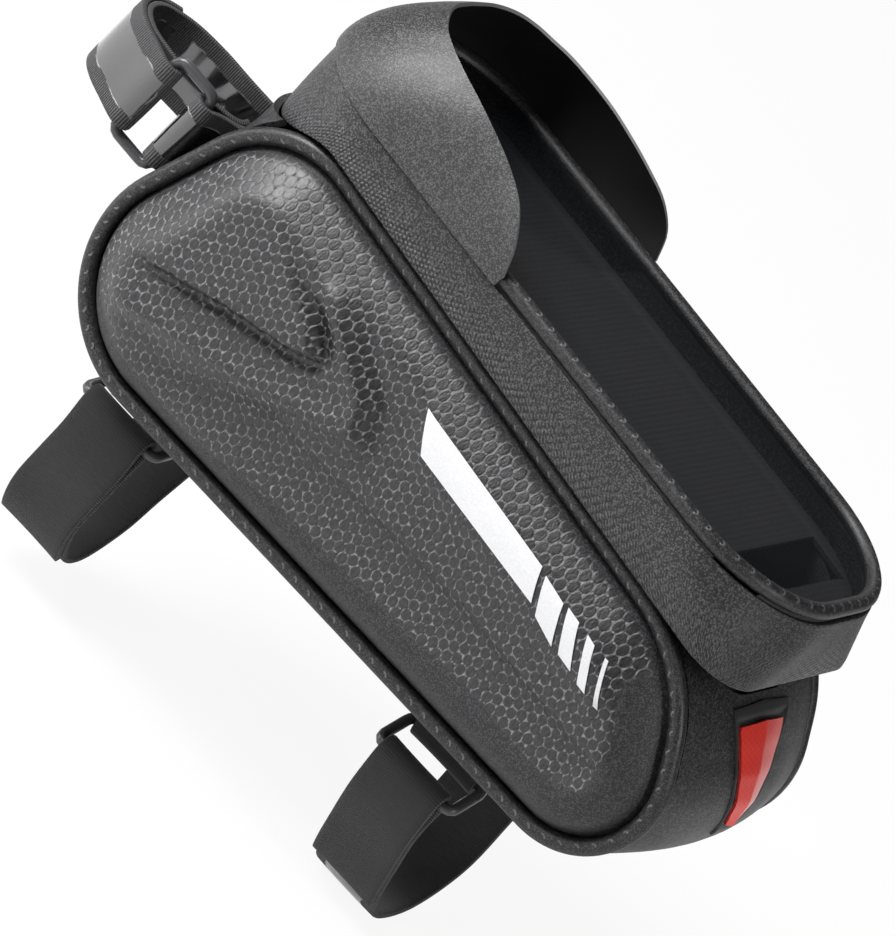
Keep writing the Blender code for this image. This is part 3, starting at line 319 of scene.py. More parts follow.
def smooth_route(points, step):
    """Points about step apart on a smooth curve through the given ones."""
    points = [np.array(p, float) for p in points]
    padded = [2 * points[0] - points[1]] + points + [2 * points[-1] - points[-2]]
    route = []
    for k in range(1, len(padded) - 2):
        a, b, c, d = padded[k - 1:k + 3]
        count = max(2, int(round(np.linalg.norm(c - b) / step)))
        for s in range(count):
            t = s / count
            route.append(0.5 * (2 * b + (c - a) * t + (2 * a - 5 * b + 4 * c - d) * t ** 2
                                + (3 * b - a - 3 * c + d) * t ** 3))
    route.append(points[-1])
    return np.array(route)


def line_distance(x, z, line):
    """Distance in the line's own unit from each point to an open polyline."""
    nearest = np.full(np.shape(x), 1e9)
    for (ax, az), (bx, bz) in zip(line[:-1], line[1:]):
        length2 = (bx - ax) ** 2 + (bz - az) ** 2
        t = np.clip(((x - ax) * (bx - ax) + (z - az) * (bz - az)) / length2, 0, 1)
        nearest = np.minimum(nearest, np.hypot(x - ax - t * (bx - ax), z - az - t * (bz - az)))
    return nearest


def inside_distance(x, z, polygon):
    """Signed distance to a polygon's edge, positive inside."""
    inside = np.zeros(np.shape(x), bool)
    for k in range(len(polygon)):
        ax, az = polygon[k - 1]
        bx, bz = polygon[k]
        if az != bz:
            inside ^= ((az > z) != (bz > z)) & (x < ax + (z - az) * (bx - ax) / (bz - az))
    nearest = line_distance(x, z, list(polygon) + [polygon[0]])
    return np.where(inside, nearest, -nearest)


def relief(x, z):
    """Height of the moulded relief in metres above the plain dome."""
    x = x / MM
    z = z / MM
    crest = inside_distance(x, z, CREST_FACET)
    arrow = inside_distance(x, z, ARROW_FACET)
    foot = line_distance(x, z, ARROW_FOOT)
    height = CREST_HEIGHT * smooth_step(0.5 + crest / CREST_RISE)
    height += RIDGE_HEIGHT * np.exp(-(line_distance(x, z, CREST_RIDGE) / RIDGE_WIDTH) ** 2)
    # The arrow is highest along its foot and runs out towards the front; its groove also stops at the top
    lift = ARROW_HEIGHT * (1 - smooth_step(foot / ARROW_FADE)) * smooth_step((x + 98) / 40)
    height += lift * smooth_step(0.5 + arrow / ARROW_RISE)
    groove = np.exp(-((arrow + ARROW_RISE) / GROOVE_WIDTH) ** 2)
    height -= GROOVE_DEPTH * groove * smooth_step((x + 90) / 25) * smooth_step((70 - z) / 10)
    height += STRIP_HEIGHT * smooth_step(0.5 + inside_distance(x, z, STRIP_FACET) / STRIP_RISE)
    below = np.interp(x, [p[0] for p in BELLY_LINE], [p[1] for p in BELLY_LINE]) - z
    height -= BELLY_DROP * smooth_step(below / BELLY_RISE)
    return height * MM


def shell_out(x, z):
    """How far the side shell stands out beyond its rim at x and z, and how deep inside the rim they lie."""
    rim = panel_line(SHELL_RIM_INSET)
    inset = np.maximum(inside_distance(x, z, [tuple(p) for p in rim]), 0.0)
    rise = np.sin(0.5 * math.pi * np.minimum(1.0, inset / DOME_RUN))
    shaped = smooth_step((inset - 0.3 * DOME_RUN) / DOME_RUN)
    channel = SEAM_CHANNEL * np.exp(-(inset / SEAM_CHANNEL_WIDTH) ** 2)
    return DOME_HEIGHT * rise + shaped * relief(x, z) - channel, inset


def across_outline(outline, u, v):
    """Fills an outline: u runs along its first axis, close together at the ends, and v across it."""
    low = int(np.argmin(outline[:, 0]))
    turned = np.roll(outline, -low, axis=0)
    high = int(np.argmax(turned[:, 0]))
    first_side = turned[:high + 1]
    second_side = np.concatenate([turned[high:], turned[:1]])[::-1]
    start = turned[0, 0]
    end = turned[high, 0]
    along = start + (end - start) * 0.5 * (1 - np.cos(math.pi * u))
    lower = np.interp(along, first_side[:, 0], first_side[:, 1])
    upper = np.interp(along, second_side[:, 0], second_side[:, 1])
    return along, lower + (upper - lower) * v


# Mesh helpers

def activate(obj):
    bpy.ops.object.select_all(action="DESELECT")
    obj.select_set(True)
    bpy.context.view_layer.objects.active = obj


def lay_grid(name, columns, rows, place, spans=(1.0, 1.0), slots=1):
    """A grid primitive whose points go where place says for u and v. Its UV map holds metres, and its empty
    material slots are there before a wall gets its thickness, so that both faces can differ."""
    bpy.ops.object.select_all(action="DESELECT")
    bpy.ops.mesh.primitive_grid_add(x_subdivisions=columns, y_subdivisions=rows, size=2.0, calc_uvs=True)
    obj = bpy.context.object
    obj.name = name
    obj.data.name = name
    flat = np.zeros(len(obj.data.vertices) * 3)
    obj.data.vertices.foreach_get("co", flat)
    flat = flat.reshape(-1, 3)
    placed = np.asarray(place(0.5 + 0.5 * flat[:, 0], 0.5 + 0.5 * flat[:, 1]), float)
    obj.data.vertices.foreach_set("co", placed.ravel())
    layer = obj.data.uv_layers.active.data
    uv = np.zeros(len(layer) * 2)
    layer.foreach_get("uv", uv)
    uv = uv.reshape(-1, 2) * np.array(spans)
    layer.foreach_set("uv", uv.ravel())
    for _ in range(slots):
        obj.data.materials.append(None)
    obj.data.update()
    return obj


def merge_seams(obj):
    activate(obj)
    bpy.ops.object.mode_set(mode="EDIT")
    bpy.ops.mesh.select_all(action="SELECT")
    bpy.ops.mesh.remove_doubles(threshold=1e-6)
    bpy.ops.object.mode_set(mode="OBJECT")


def apply_modifier(obj, kind, **settings):
    """Adds a modifier with its settings and applies it."""
    activate(obj)
    modifier = obj.modifiers.new(kind.lower(), kind)
    for key, value in settings.items():
        setattr(modifier, key, value)
    bpy.ops.object.modifier_apply(modifier=modifier.name)


def finish_piece(obj, body, nodes, materials, smooth_degrees=40.0):
    """Shades a piece, gives it its materials and its body, and hides the solids that it stands for."""
    shape = bmesh.new()
    shape.from_mesh(obj.data)
    volume = shape.calc_volume(signed=True)
    shape.free()
    if volume <= 0:
        raise RuntimeError(f"{obj.name} is inside out")
    activate(obj)
    bpy.ops.object.shade_smooth_by_angle(angle=math.radians(smooth_degrees))
    for index, material in enumerate(materials):
        obj.data.materials[index] = material
    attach(obj, body)
    if nodes:
        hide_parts(*nodes)


def round_cord(name, line, side_axis, radius, around=14):
    """A round cord on a closed line that lies in one plane. UV: along it, and round it from the side axis."""
    line = closed(np.asarray(line))
    length = lengths_along(line)[-1]
    columns = int(length / (1.4 * MM))
    centres = sample(line, np.arange(columns) / columns)
    ahead = np.roll(centres, -1, axis=0) - centres
    behind = centres - np.roll(centres, 1, axis=0)
    along = ahead / np.linalg.norm(ahead, axis=1)[:, None] + behind / np.linalg.norm(behind, axis=1)[:, None]
    along /= np.linalg.norm(along, axis=1)[:, None]
    side = unit(side_axis)
    across = np.cross(along, side)

    def place(u, v):
        k = np.rint(u * columns).astype(int) % columns
        angle = 2 * math.pi * v
        return centres[k] + radius * (np.sin(angle)[:, None] * across[k] - np.cos(angle)[:, None] * side)

    obj = lay_grid(name, columns, around, place, (length, 2 * math.pi * radius))
    merge_seams(obj)
    return obj


def turn_outwards(obj):
    """Turns a closed mesh's faces outwards if they point in."""
    shape = bmesh.new()
    shape.from_mesh(obj.data)
    if shape.calc_volume(signed=True) < 0:
        bmesh.ops.reverse_faces(shape, faces=shape.faces)
        shape.to_mesh(obj.data)
    shape.free()


def webbing(name, centres, widths):
    """Flat webbing along a route. Its first face lies away from the cross product of along and across."""
    length = lengths_along(centres)
    columns = int(length[-1] / (1.5 * MM))
    spots = np.linspace(0.0, length[-1], columns + 1)
    widths = np.stack([np.interp(spots, length, np.asarray(widths)[:, axis]) for axis in range(3)], 1)
    centres = np.stack([np.interp(spots, length, np.asarray(centres)[:, axis]) for axis in range(3)], 1)
    frames = []
    for k in range(columns + 1):
        along = unit(centres[min(k + 1, columns)] - centres[max(k - 1, 0)])
        normal = unit(np.cross(along, unit(widths[k])))
        frames.append((np.cross(normal, along), normal))
    across = np.array([f[0] for f in frames])
    normals = np.array([f[1] for f in frames])

    def place(u, v):
        k = np.rint(u * columns).astype(int)
        share = 2 * v - 1
        dip = STRAP_CUP * (share ** 2 - 0.5)
        return centres[k] - across[k] * (share * STRAP_WIDTH / 2)[:, None] + normals[k] * dip[:, None]

    obj = lay_grid(name, columns, 10, place, (length[-1], STRAP_WIDTH), 2)
    apply_modifier(obj, "SOLIDIFY", thickness=STRAP_THICKNESS, offset=0.0, material_offset=1)
    apply_modifier(obj, "BEVEL", width=0.45 * MM, segments=2, limit_method="ANGLE",
                   angle_limit=math.radians(50))
    return obj


def hairpin(points, approach, bar, side, back_length, step):
    """Route in a plane that ends round a ring's bar and lies back on itself. side: 1 turns left, -1 right."""
    approach = unit(approach)
    turned = side * np.array([-approach[1], approach[0]])
    wrap = RING_BAR_RADIUS + CLEAR + 0.5 * STRAP_THICKNESS
    last = np.array(bar) - turned * wrap
    lead_in = last - approach * 2.0 * MM
    inner = smooth_route(list(points) + [lead_in, last], step)
    arc = []
    steps = 12
    for k in range(1, steps):
        angle = side * math.pi * k / steps
        rotation = np.array([[math.cos(angle), -math.sin(angle)], [math.sin(angle), math.cos(angle)]])
        arc.append(np.array(bar) + rotation @ (-turned * wrap))
    back = []
    travelled = 0.0
    layer = STRAP_THICKNESS + STRAP_LAYER_GAP
    for k in range(len(inner) - 1, 0, -1):
        along = unit(inner[min(k + 1, len(inner) - 1)] - inner[k - 1])
        normal = side * np.array([-along[1], along[0]])
        gap = layer + (2 * wrap - layer) * math.exp(-(travelled / (8 * MM)) ** 2)
        point = inner[k] + normal * gap
        spoke = point - np.array(bar)
        if np.linalg.norm(spoke) < wrap:
            point = np.array(bar) + unit(spoke) * wrap
        back.append(point)
        travelled += np.linalg.norm(inner[k] - inner[k - 1])
        if travelled > back_length:
            break
    return np.array(list(inner) + arc + back)


# Materials

def paint(text):
    """A linear colour from an sRGB hex value."""
    channels = [int(text[k:k + 2], 16) / 255 for k in (1, 3, 5)]
    return (*[c / 12.92 if c <= 0.04045 else ((c + 0.055) / 1.055) ** 2.4 for c in channels], 1.0)


def add(tree, kind, inputs=None, **settings):
    """Adds a shader node with its settings. Its inputs are linked to sockets or set to values."""
    made = tree.nodes.new("ShaderNode" + kind)
    for key, value in settings.items():
        setattr(made, key, value)
    for key, value in (inputs or {}).items():
        if isinstance(value, bpy.types.NodeSocket):
            tree.links.new(value, made.inputs[key])
        else:
            made.inputs[key].default_value = value
    return made


def new_material(name, roughness, ior=1.5, metallic=0.0):
    """An empty material with one Principled shader."""
    material = bpy.data.materials.new(name)
    material.use_nodes = True
    tree = material.node_tree
    shader = tree.nodes["Principled BSDF"]
    shader.inputs["Roughness"].default_value = roughness
    shader.inputs["IOR"].default_value = ior
    shader.inputs["Metallic"].default_value = metallic
    return material, tree, shader


def dot_lattice(tree, vector, pitch, stretch=(1.0, 1.0)):
    """Distance from the nearest point of a lattice of staggered rows, in pitches. Columns run along y."""
    half = (math.sqrt(3) / 2 * stretch[0], 0.5 * stretch[1], 1.0)
    scaled = add(tree, "VectorMath", {0: vector, "Scale": 1 / pitch}, operation="SCALE").outputs[0]
    near = []
    for shift in ((0.0, 0.0, 0.0), half):
        moved = add(tree, "VectorMath", {0: scaled, 1: shift}, operation="ADD").outputs[0]
        wrapped = add(tree, "VectorMath", {0: moved, 1: half, 2: (-half[0], -half[1], -1.0)},
                      operation="WRAP")
        squeezed = add(tree, "VectorMath", {0: wrapped.outputs[0], 1: (1 / stretch[0], 1 / stretch[1], 0.0)},
                       operation="MULTIPLY")
        near.append(add(tree, "VectorMath", {0: squeezed.outputs[0]}, operation="LENGTH").outputs["Value"])
    return add(tree, "Math", {0: near[0], 1: near[1]}, operation="MINIMUM").outputs[0]


def leather_grain(tree, vector, grain_mm):
    """Height of fine pebbled grain: cells of grain_mm with softer swells under them."""
    pebbles = add(tree, "TexVoronoi", {"Vector": vector, "Scale": 1000 / grain_mm}, feature="SMOOTH_F1")
    pebbles.inputs["Smoothness"].default_value = 0.6
    swell = add(tree, "TexNoise", {"Vector": vector, "Scale": 400 / grain_mm, "Detail": 3.0})
    low = add(tree, "Math", {0: pebbles.outputs["Distance"], 1: -0.8}, operation="MULTIPLY").outputs[0]
    high = add(tree, "Math", {0: swell.outputs[0], 1: 0.5}, operation="MULTIPLY").outputs[0]
    return add(tree, "Math", {0: low, 1: high}, operation="ADD").outputs[0]


def grain_tops(tree, grain, hex_low, hex_high):
    """Skin colour from its grain: tops paler than the furrows, partly wear, partly a painted highlight."""
    tops = add(tree, "MapRange", {"Value": grain, "From Min": -0.2, "From Max": 0.14}).outputs[0]
    return add(tree, "Mix", {0: tops, 6: paint(hex_low), 7: paint(hex_high)}, data_type="RGBA").outputs[2]


def patchy(tree, vector, size_mm, low, high):
    """Soft patches about size_mm wide that vary between two values: handling marks, or a weave's threads."""
    cloud = add(tree, "TexNoise", {"Vector": vector, "Scale": 1000 / size_mm, "Detail": 4.0})
    spread = add(tree, "MapRange", {"Value": cloud.outputs[0], "From Min": 0.35, "From Max": 0.65,
                                    "To Min": low, "To Max": high})
    return spread.outputs[0]


def grained_leather(name, hex_colour, hex_high, roughness, grain_mm=0.55, strength=0.35):
    """PU leather, calendered over foam: a matte black skin with fine pebbled grain and paler grain tops."""
    material, tree, shader = new_material(name, roughness)
    place = add(tree, "TexCoord").outputs["Object"]
    grain = leather_grain(tree, place, grain_mm)
    tree.links.new(grain_tops(tree, grain, hex_colour, hex_high), shader.inputs["Base Color"])
    tree.links.new(patchy(tree, place, 30.0, roughness - 0.06, roughness + 0.08), shader.inputs["Roughness"])
    bump = add(tree, "Bump", {"Height": grain, "Strength": strength, "Distance": 0.12 * MM})
    tree.links.new(bump.outputs[0], shader.inputs["Normal"])
    return material


def stippled_leather(name, looks):
    """The same leather on the lid band, with rows of small embossed ticks that fade out above its seam."""
    material, tree, shader = new_material(name, 0.5)
    place = add(tree, "TexCoord").outputs["Object"]
    uv = add(tree, "UVMap", uv_map="UVMap").outputs[0]
    height = add(tree, "SeparateXYZ", {0: uv}).outputs[1]
    grain = leather_grain(tree, place, 0.55)
    ticks = dot_lattice(tree, uv, looks.tick_pitch, (0.8, 1.15))
    raised = add(tree, "MapRange", {"Value": ticks, "From Min": 0.42, "From Max": 0.1}).outputs[0]
    fade = add(tree, "MapRange", {"Value": height, "From Min": 15 * MM, "From Max": 4 * MM}).outputs[0]
    shown = add(tree, "Math", {0: raised, 1: fade}, operation="MULTIPLY").outputs[0]
    skin = grain_tops(tree, grain, "#151516", "#515153")
    # The raised ticks are painted paler towards #6c6c6e: a painted highlight on each tick.
    tree.links.new(add(tree, "Mix", {0: add(tree, "Math", {0: shown, 1: 0.5},
                                            operation="MULTIPLY").outputs[0], 6: skin, 7: paint("#6c6c6e")},
                                     data_type="RGBA").outputs[2], shader.inputs["Base Color"])
    tree.links.new(patchy(tree, place, 30.0, 0.44, 0.58), shader.inputs["Roughness"])
    fine = add(tree, "Bump", {"Height": grain, "Strength": 0.8, "Distance": 0.18 * MM}).outputs[0]
    bump = add(tree, "Bump", {"Height": shown, "Strength": 0.9, "Distance": 0.35 * MM, "Normal": fine})
    tree.links.new(bump.outputs[0], shader.inputs["Normal"])
    return material


def cell_skin(looks):
    """Moulded EVA shell faced with woven cloth. Each cell is a glossy disc of clear resin printed on a matte
    grey weave, so a cell turned to the light is bright in a dark net, and one turned away is dark in a
    pale one. Outside the printed field the facing is plain grained leather."""
    material, tree, shader = new_material("resin_cell_shell_skin", 0.5)
    place = add(tree, "TexCoord").outputs["Object"]
    spread = add(tree, "SeparateXYZ", {0: place})
    flat = add(tree, "CombineXYZ", {0: spread.outputs[0], 1: spread.outputs[2]}).outputs[0]
    turned = add(tree, "Mapping", {"Vector": flat, "Rotation": (0.0, 0.0, math.radians(-1.0))}).outputs[0]
    # The cloth's floats run along z, so its light and dark dashes are long that way
    floats = add(tree, "Mapping", {"Vector": turned, "Scale": (1.0, 0.36, 1.0)}).outputs[0]
    weave = patchy(tree, floats, 0.62, 0.0, 1.0)
    lattice = dot_lattice(tree, turned, looks.cell_pitch, (0.907, 1.0))
    uneven = add(tree, "Math", {0: weave, 1: 0.045}, operation="MULTIPLY").outputs[0]
    away = add(tree, "Math", {0: lattice, 1: uneven}, operation="ADD").outputs[0]
    disc = add(tree, "MapRange", {"Value": away, "From Min": 0.53, "From Max": 0.46}).outputs[0]
    dome = add(tree, "MapRange", {"Value": away, "From Min": 0.55, "From Max": 0.4}).outputs[0]
    field = add(tree, "Attribute", attribute_name="cells").outputs["Fac"]
    grain = leather_grain(tree, place, 0.5)
    net = add(tree, "Mix", {0: weave, 6: paint("#161618"), 7: paint("#838385")}, data_type="RGBA").outputs[2]
    resin = add(tree, "Mix", {0: weave, 6: paint(looks.cell_low), 7: paint(looks.cell_high)},
                data_type="RGBA").outputs[2]
    cells = add(tree, "Mix", {0: disc, 6: net, 7: resin}, data_type="RGBA").outputs[2]
    margin = grain_tops(tree, grain, "#171719", "#444446")
    skin = add(tree, "Mix", {0: field, 6: margin, 7: cells}, data_type="RGBA").outputs[2]
    tree.links.new(skin, shader.inputs["Base Color"])
    cell_gloss = add(tree, "MapRange", {"Value": disc, "To Min": 0.8, "To Max": 0.44}).outputs[0]
    rough = add(tree, "Mix", {0: field, 2: 0.55, 3: cell_gloss}, data_type="FLOAT").outputs[0]
    tree.links.new(rough, shader.inputs["Roughness"])
    resin_share = add(tree, "Math", {0: disc, 1: field}, operation="MULTIPLY").outputs[0]
    glaze = add(tree, "Math", {0: resin_share, 1: 0.2}, operation="MULTIPLY").outputs[0]
    tree.links.new(glaze, shader.inputs["Coat Weight"])
    shader.inputs["Coat Roughness"].default_value = 0.38
    shader.inputs["Coat IOR"].default_value = 1.7
    fine = add(tree, "Bump", {"Height": grain, "Strength": 0.5, "Distance": 0.14 * MM}).outputs[0]
    rise = add(tree, "Math", {0: dome, 1: field}, operation="MULTIPLY").outputs[0]
    body = add(tree, "Bump", {"Height": rise, "Strength": 0.5, "Distance": 0.25 * MM,
                              "Normal": fine}).outputs[0]
    wrinkle = add(tree, "Math", {0: weave, 1: field}, operation="MULTIPLY").outputs[0]
    bump = add(tree, "Bump", {"Height": wrinkle, "Strength": 0.4, "Distance": 0.12 * MM, "Normal": body})
    tree.links.new(bump.outputs[0], shader.inputs["Normal"])
    return material


def stitched_piping(name, looks, side_share, hex_thread, stitch_radius):
    """Piping: PU leather folded round a cord and sewn, so a row of small looped stitches shows along it."""
    material, tree, shader = new_material(name, 0.48)
    place = add(tree, "TexCoord").outputs["Object"]
    uv = add(tree, "UVMap", uv_map="UVMap").outputs[0]
    pitch = looks.stitch_pitch
    centred = add(tree, "VectorMath", {0: uv, 1: (0.0, -side_share, 0.0)}, operation="ADD").outputs[0]
    wrapped = add(tree, "VectorMath", {0: centred, 1: (pitch / 2, 0.05, 1.0), 2: (-pitch / 2, -0.05, -1.0)},
                  operation="WRAP").outputs[0]
    away = add(tree, "VectorMath", {0: wrapped}, operation="LENGTH").outputs["Value"]
    off_stitch = add(tree, "Math", {0: away, 1: stitch_radius}, operation="SUBTRACT").outputs[0]
    ring = add(tree, "Math", {0: off_stitch}, operation="ABSOLUTE").outputs[0]
    thread = add(tree, "MapRange", {"Value": ring, "From Min": 0.42 * MM, "From Max": 0.16 * MM}).outputs[0]
    ahead = add(tree, "SeparateXYZ", {0: wrapped}).outputs[0]
    open_side = add(tree, "MapRange", {"Value": ahead, "From Min": -0.5 * MM,
                                       "From Max": 0.1 * MM}).outputs[0]
    loop = add(tree, "Math", {0: thread, 1: open_side}, operation="MULTIPLY").outputs[0]
    grain = leather_grain(tree, place, 0.45)
    skin = grain_tops(tree, grain, "#121213", "#404042")
    tree.links.new(add(tree, "Mix", {0: loop, 6: skin, 7: paint(hex_thread)}, data_type="RGBA").outputs[2],
                   shader.inputs["Base Color"])
    tree.links.new(patchy(tree, place, 20.0, 0.4, 0.56), shader.inputs["Roughness"])
    fine = add(tree, "Bump", {"Height": grain, "Strength": 0.4, "Distance": 0.12 * MM}).outputs[0]
    bump = add(tree, "Bump", {"Height": loop, "Strength": 0.8, "Distance": 0.25 * MM, "Normal": fine})
    tree.links.new(bump.outputs[0], shader.inputs["Normal"])
    return material


def plain_skin(name, hex_colour, roughness, speck_mm=0.4, strength=0.12):
    """A smooth coated or moulded surface with faint specks and handling marks."""
    material, tree, shader = new_material(name, roughness)
    place = add(tree, "TexCoord").outputs["Object"]
    speck = add(tree, "TexNoise", {"Vector": place, "Scale": 1000 / speck_mm, "Detail": 3.0}).outputs[0]
    base = paint(hex_colour)
    paler = tuple(min(1.0, 1.35 * c + 0.004) for c in base[:3]) + (1.0,)
    tree.links.new(add(tree, "Mix", {0: speck, 6: base, 7: paler}, data_type="RGBA").outputs[2],
                   shader.inputs["Base Color"])
    tree.links.new(patchy(tree, place, 25.0, roughness - 0.05, roughness + 0.07), shader.inputs["Roughness"])
    bump = add(tree, "Bump", {"Height": speck, "Strength": strength, "Distance": 0.08 * MM})
    tree.links.new(bump.outputs[0], shader.inputs["Normal"])
    return material


def clear_film(looks):
    """Clear TPU film, cast smooth: nearly all light goes through, with a sharp glossy reflection over it."""
    material, tree, shader = new_material("clear_tpu_film", 0.06, 1.5)
    place = add(tree, "TexCoord").outputs["Object"]
    ripple = add(tree, "TexNoise", {"Vector": place, "Scale": 14.0, "Detail": 1.0}).outputs[0]
    shader.inputs["Base Color"].default_value = paint("#14161a")
    shader.inputs["Alpha"].default_value = looks.film_cover
    tree.links.new(patchy(tree, place, 40.0, 0.04, 0.11), shader.inputs["Roughness"])
    bump = add(tree, "Bump", {"Height": ripple, "Strength": 0.25, "Distance": 1.2 * MM})
    tree.links.new(bump.outputs[0], shader.inputs["Normal"])
    return material


def wave_scale(pitch_mm):
    """Scale of a wave pattern with one wave every pitch_mm: the node turns once in 20 units of its vector."""
    return 1000 / pitch_mm * 0.05 * 2 * math.pi


def ribbed_cloth(name, hex_low, hex_high, rib_mm, roughness, uv_ribs=False):
    """Ribbed knitted lining: rows of soft cords with thread texture between them."""
    material, tree, shader = new_material(name, roughness)
    place = add(tree, "TexCoord").outputs["Object"]
    run = add(tree, "UVMap", uv_map="UVMap").outputs[0] if uv_ribs else place
    ribs = add(tree, "TexWave", {"Vector": run, "Scale": wave_scale(rib_mm), "Distortion": 0.0},
               bands_direction="X")
    thread = add(tree, "TexNoise", {"Vector": place, "Scale": 3200.0, "Detail": 2.0}).outputs[0]
    mixed = add(tree, "Math", {0: ribs.outputs["Fac"], 1: thread}, operation="ADD").outputs[0]
    share = add(tree, "Math", {0: mixed, 1: 0.5}, operation="MULTIPLY").outputs[0]
    tree.links.new(add(tree, "Mix", {0: share, 6: paint(hex_low), 7: paint(hex_high)},
                       data_type="RGBA").outputs[2], shader.inputs["Base Color"])
    shader.inputs["Sheen Weight"].default_value = 0.15
    tree.links.new(patchy(tree, place, 30.0, roughness - 0.05, roughness + 0.05), shader.inputs["Roughness"])
    bump = add(tree, "Bump", {"Height": share, "Strength": 0.5, "Distance": 0.3 * MM})
    tree.links.new(bump.outputs[0], shader.inputs["Normal"])
    return material


def strap_face(looks):
    """Nylon webbing with ribbed woven borders. Its middle carries a smooth, glossy welded film."""
    material, tree, shader = new_material("nylon_webbing_with_film", 0.6)
    place = add(tree, "TexCoord").outputs["Object"]
    uv = add(tree, "UVMap", uv_map="UVMap").outputs[0]
    parts = add(tree, "SeparateXYZ", {0: uv})
    wobble = add(tree, "TexNoise", {"Vector": place, "Scale": 160.0, "Detail": 2.0}).outputs[0]
    swing = add(tree, "Math", {0: wobble, 1: 0.5}, operation="SUBTRACT").outputs[0]
    ragged = add(tree, "Math", {0: swing, 1: 1.8 * MM}, operation="MULTIPLY").outputs[0]
    across = add(tree, "Math", {0: parts.outputs[1], 1: STRAP_WIDTH / 2}, operation="SUBTRACT").outputs[0]
    off_middle = add(tree, "Math", {0: across}, operation="ABSOLUTE").outputs[0]
    from_side = add(tree, "Math", {0: STRAP_WIDTH / 2 - looks.strap_border, 1: off_middle},
                    operation="SUBTRACT").outputs[0]
    # The film is welded on in lengths, with bare webbing between two
    spot = add(tree, "Math", {0: parts.outputs[0], 1: (FILM_LENGTH + FILM_BREAK) / 2},
               operation="PINGPONG").outputs[0]
    from_end = add(tree, "Math", {0: spot, 1: FILM_BREAK / 2}, operation="SUBTRACT").outputs[0]
    inward = add(tree, "Math", {0: from_side, 1: from_end}, operation="MINIMUM").outputs[0]
    depth = add(tree, "Math", {0: inward, 1: ragged}, operation="ADD").outputs[0]
    film = add(tree, "MapRange", {"Value": depth, "From Min": -0.15 * MM, "From Max": 0.15 * MM}).outputs[0]
    off_edge = add(tree, "Math", {0: depth}, operation="ABSOLUTE").outputs[0]
    seam = add(tree, "MapRange", {"Value": off_edge, "From Min": 0.45 * MM, "From Max": 0.15 * MM}).outputs[0]
    # Ribs across the border are 0.7 mm apart, a little coarser than real ones so that they show
    ribs = add(tree, "TexWave", {"Vector": uv, "Scale": wave_scale(0.7), "Distortion": 0.6,
                                 "Detail": 1.0}, bands_direction="X").outputs["Fac"]
    rough_thread = add(tree, "TexNoise", {"Vector": place, "Scale": 2200.0, "Detail": 2.0}).outputs[0]
    # The rib crests are painted paler than the grooves: a painted highlight along each rib.
    lit = add(tree, "Math", {0: ribs, 1: rough_thread}, operation="MULTIPLY").outputs[0]
    border = add(tree, "Mix", {0: lit, 6: paint("#131314"), 7: paint("#747476")},
                 data_type="RGBA").outputs[2]
    broken = add(tree, "MapRange", {"Value": wobble, "From Min": 0.5, "From Max": 0.62}).outputs[0]
    frayed = add(tree, "Math", {0: seam, 1: broken}, operation="MULTIPLY").outputs[0]
    bright = add(tree, "Math", {0: frayed, 1: rough_thread}, operation="MULTIPLY").outputs[0]
    worn = add(tree, "Mix", {0: bright, 6: border, 7: paint("#d8d8da")}, data_type="RGBA").outputs[2]
    tree.links.new(add(tree, "Mix", {0: film, 6: worn, 7: paint("#19191b")}, data_type="RGBA").outputs[2],
                   shader.inputs["Base Color"])
    tree.links.new(add(tree, "MapRange", {"Value": film, "To Min": 0.78, "To Max": 0.12}).outputs[0],
                   shader.inputs["Roughness"])
    tree.links.new(film, shader.inputs["Coat Weight"])
    shader.inputs["Coat Roughness"].default_value = 0.06
    shader.inputs["Coat IOR"].default_value = 1.9
    bare = add(tree, "Math", {0: 1.0, 1: film}, operation="SUBTRACT").outputs[0]
    raised = add(tree, "Math", {0: lit, 1: bare}, operation="MULTIPLY").outputs[0]
    woven = add(tree, "Bump", {"Height": raised, "Strength": 0.7, "Distance": 0.3 * MM}).outputs[0]
    buckle = add(tree, "TexNoise", {"Vector": place, "Scale": 60.0, "Detail": 2.0}).outputs[0]
    bump = add(tree, "Bump", {"Height": buckle, "Strength": 0.5, "Distance": 1.6 * MM, "Normal": woven})
    tree.links.new(bump.outputs[0], shader.inputs["Normal"])
    return material


def metal_finish(name, hex_colour, roughness):
    """Zinc alloy, die cast and painted: a thin dark paint with a metallic glint and rubbed edges."""
    material, tree, shader = new_material(name, roughness, metallic=0.8)
    place = add(tree, "TexCoord").outputs["Object"]
    wear = add(tree, "TexNoise", {"Vector": place, "Scale": 700.0, "Detail": 4.0}).outputs[0]
    tree.links.new(add(tree, "Mix", {0: wear, 6: paint(hex_colour), 7: paint("#6d6d70")},
                       data_type="RGBA").outputs[2], shader.inputs["Base Color"])
    tree.links.new(patchy(tree, place, 6.0, roughness - 0.08, roughness + 0.1), shader.inputs["Roughness"])
    bump = add(tree, "Bump", {"Height": wear, "Strength": 0.15, "Distance": 0.05 * MM})
    tree.links.new(bump.outputs[0], shader.inputs["Normal"])
    return material


def woven_tape():
    """Zip tape, woven polyester, with the coil's turns drawn across it."""
    material, tree, shader = new_material("woven_polyester_tape", 0.8)
    place = add(tree, "TexCoord").outputs["Object"]
    turns = add(tree, "TexWave", {"Vector": place, "Scale": wave_scale(1.2)}, bands_direction="X")
    thread = add(tree, "TexNoise", {"Vector": place, "Scale": 2600.0, "Detail": 2.0}).outputs[0]
    share = add(tree, "Math", {0: turns.outputs["Fac"], 1: thread}, operation="MULTIPLY").outputs[0]
    tree.links.new(add(tree, "Mix", {0: share, 6: paint("#101011"), 7: paint("#38383a")},
                       data_type="RGBA").outputs[2], shader.inputs["Base Color"])
    shader.inputs["Sheen Weight"].default_value = 0.1
    bump = add(tree, "Bump", {"Height": share, "Strength": 0.6, "Distance": 0.25 * MM})
    tree.links.new(bump.outputs[0], shader.inputs["Normal"])
    return material


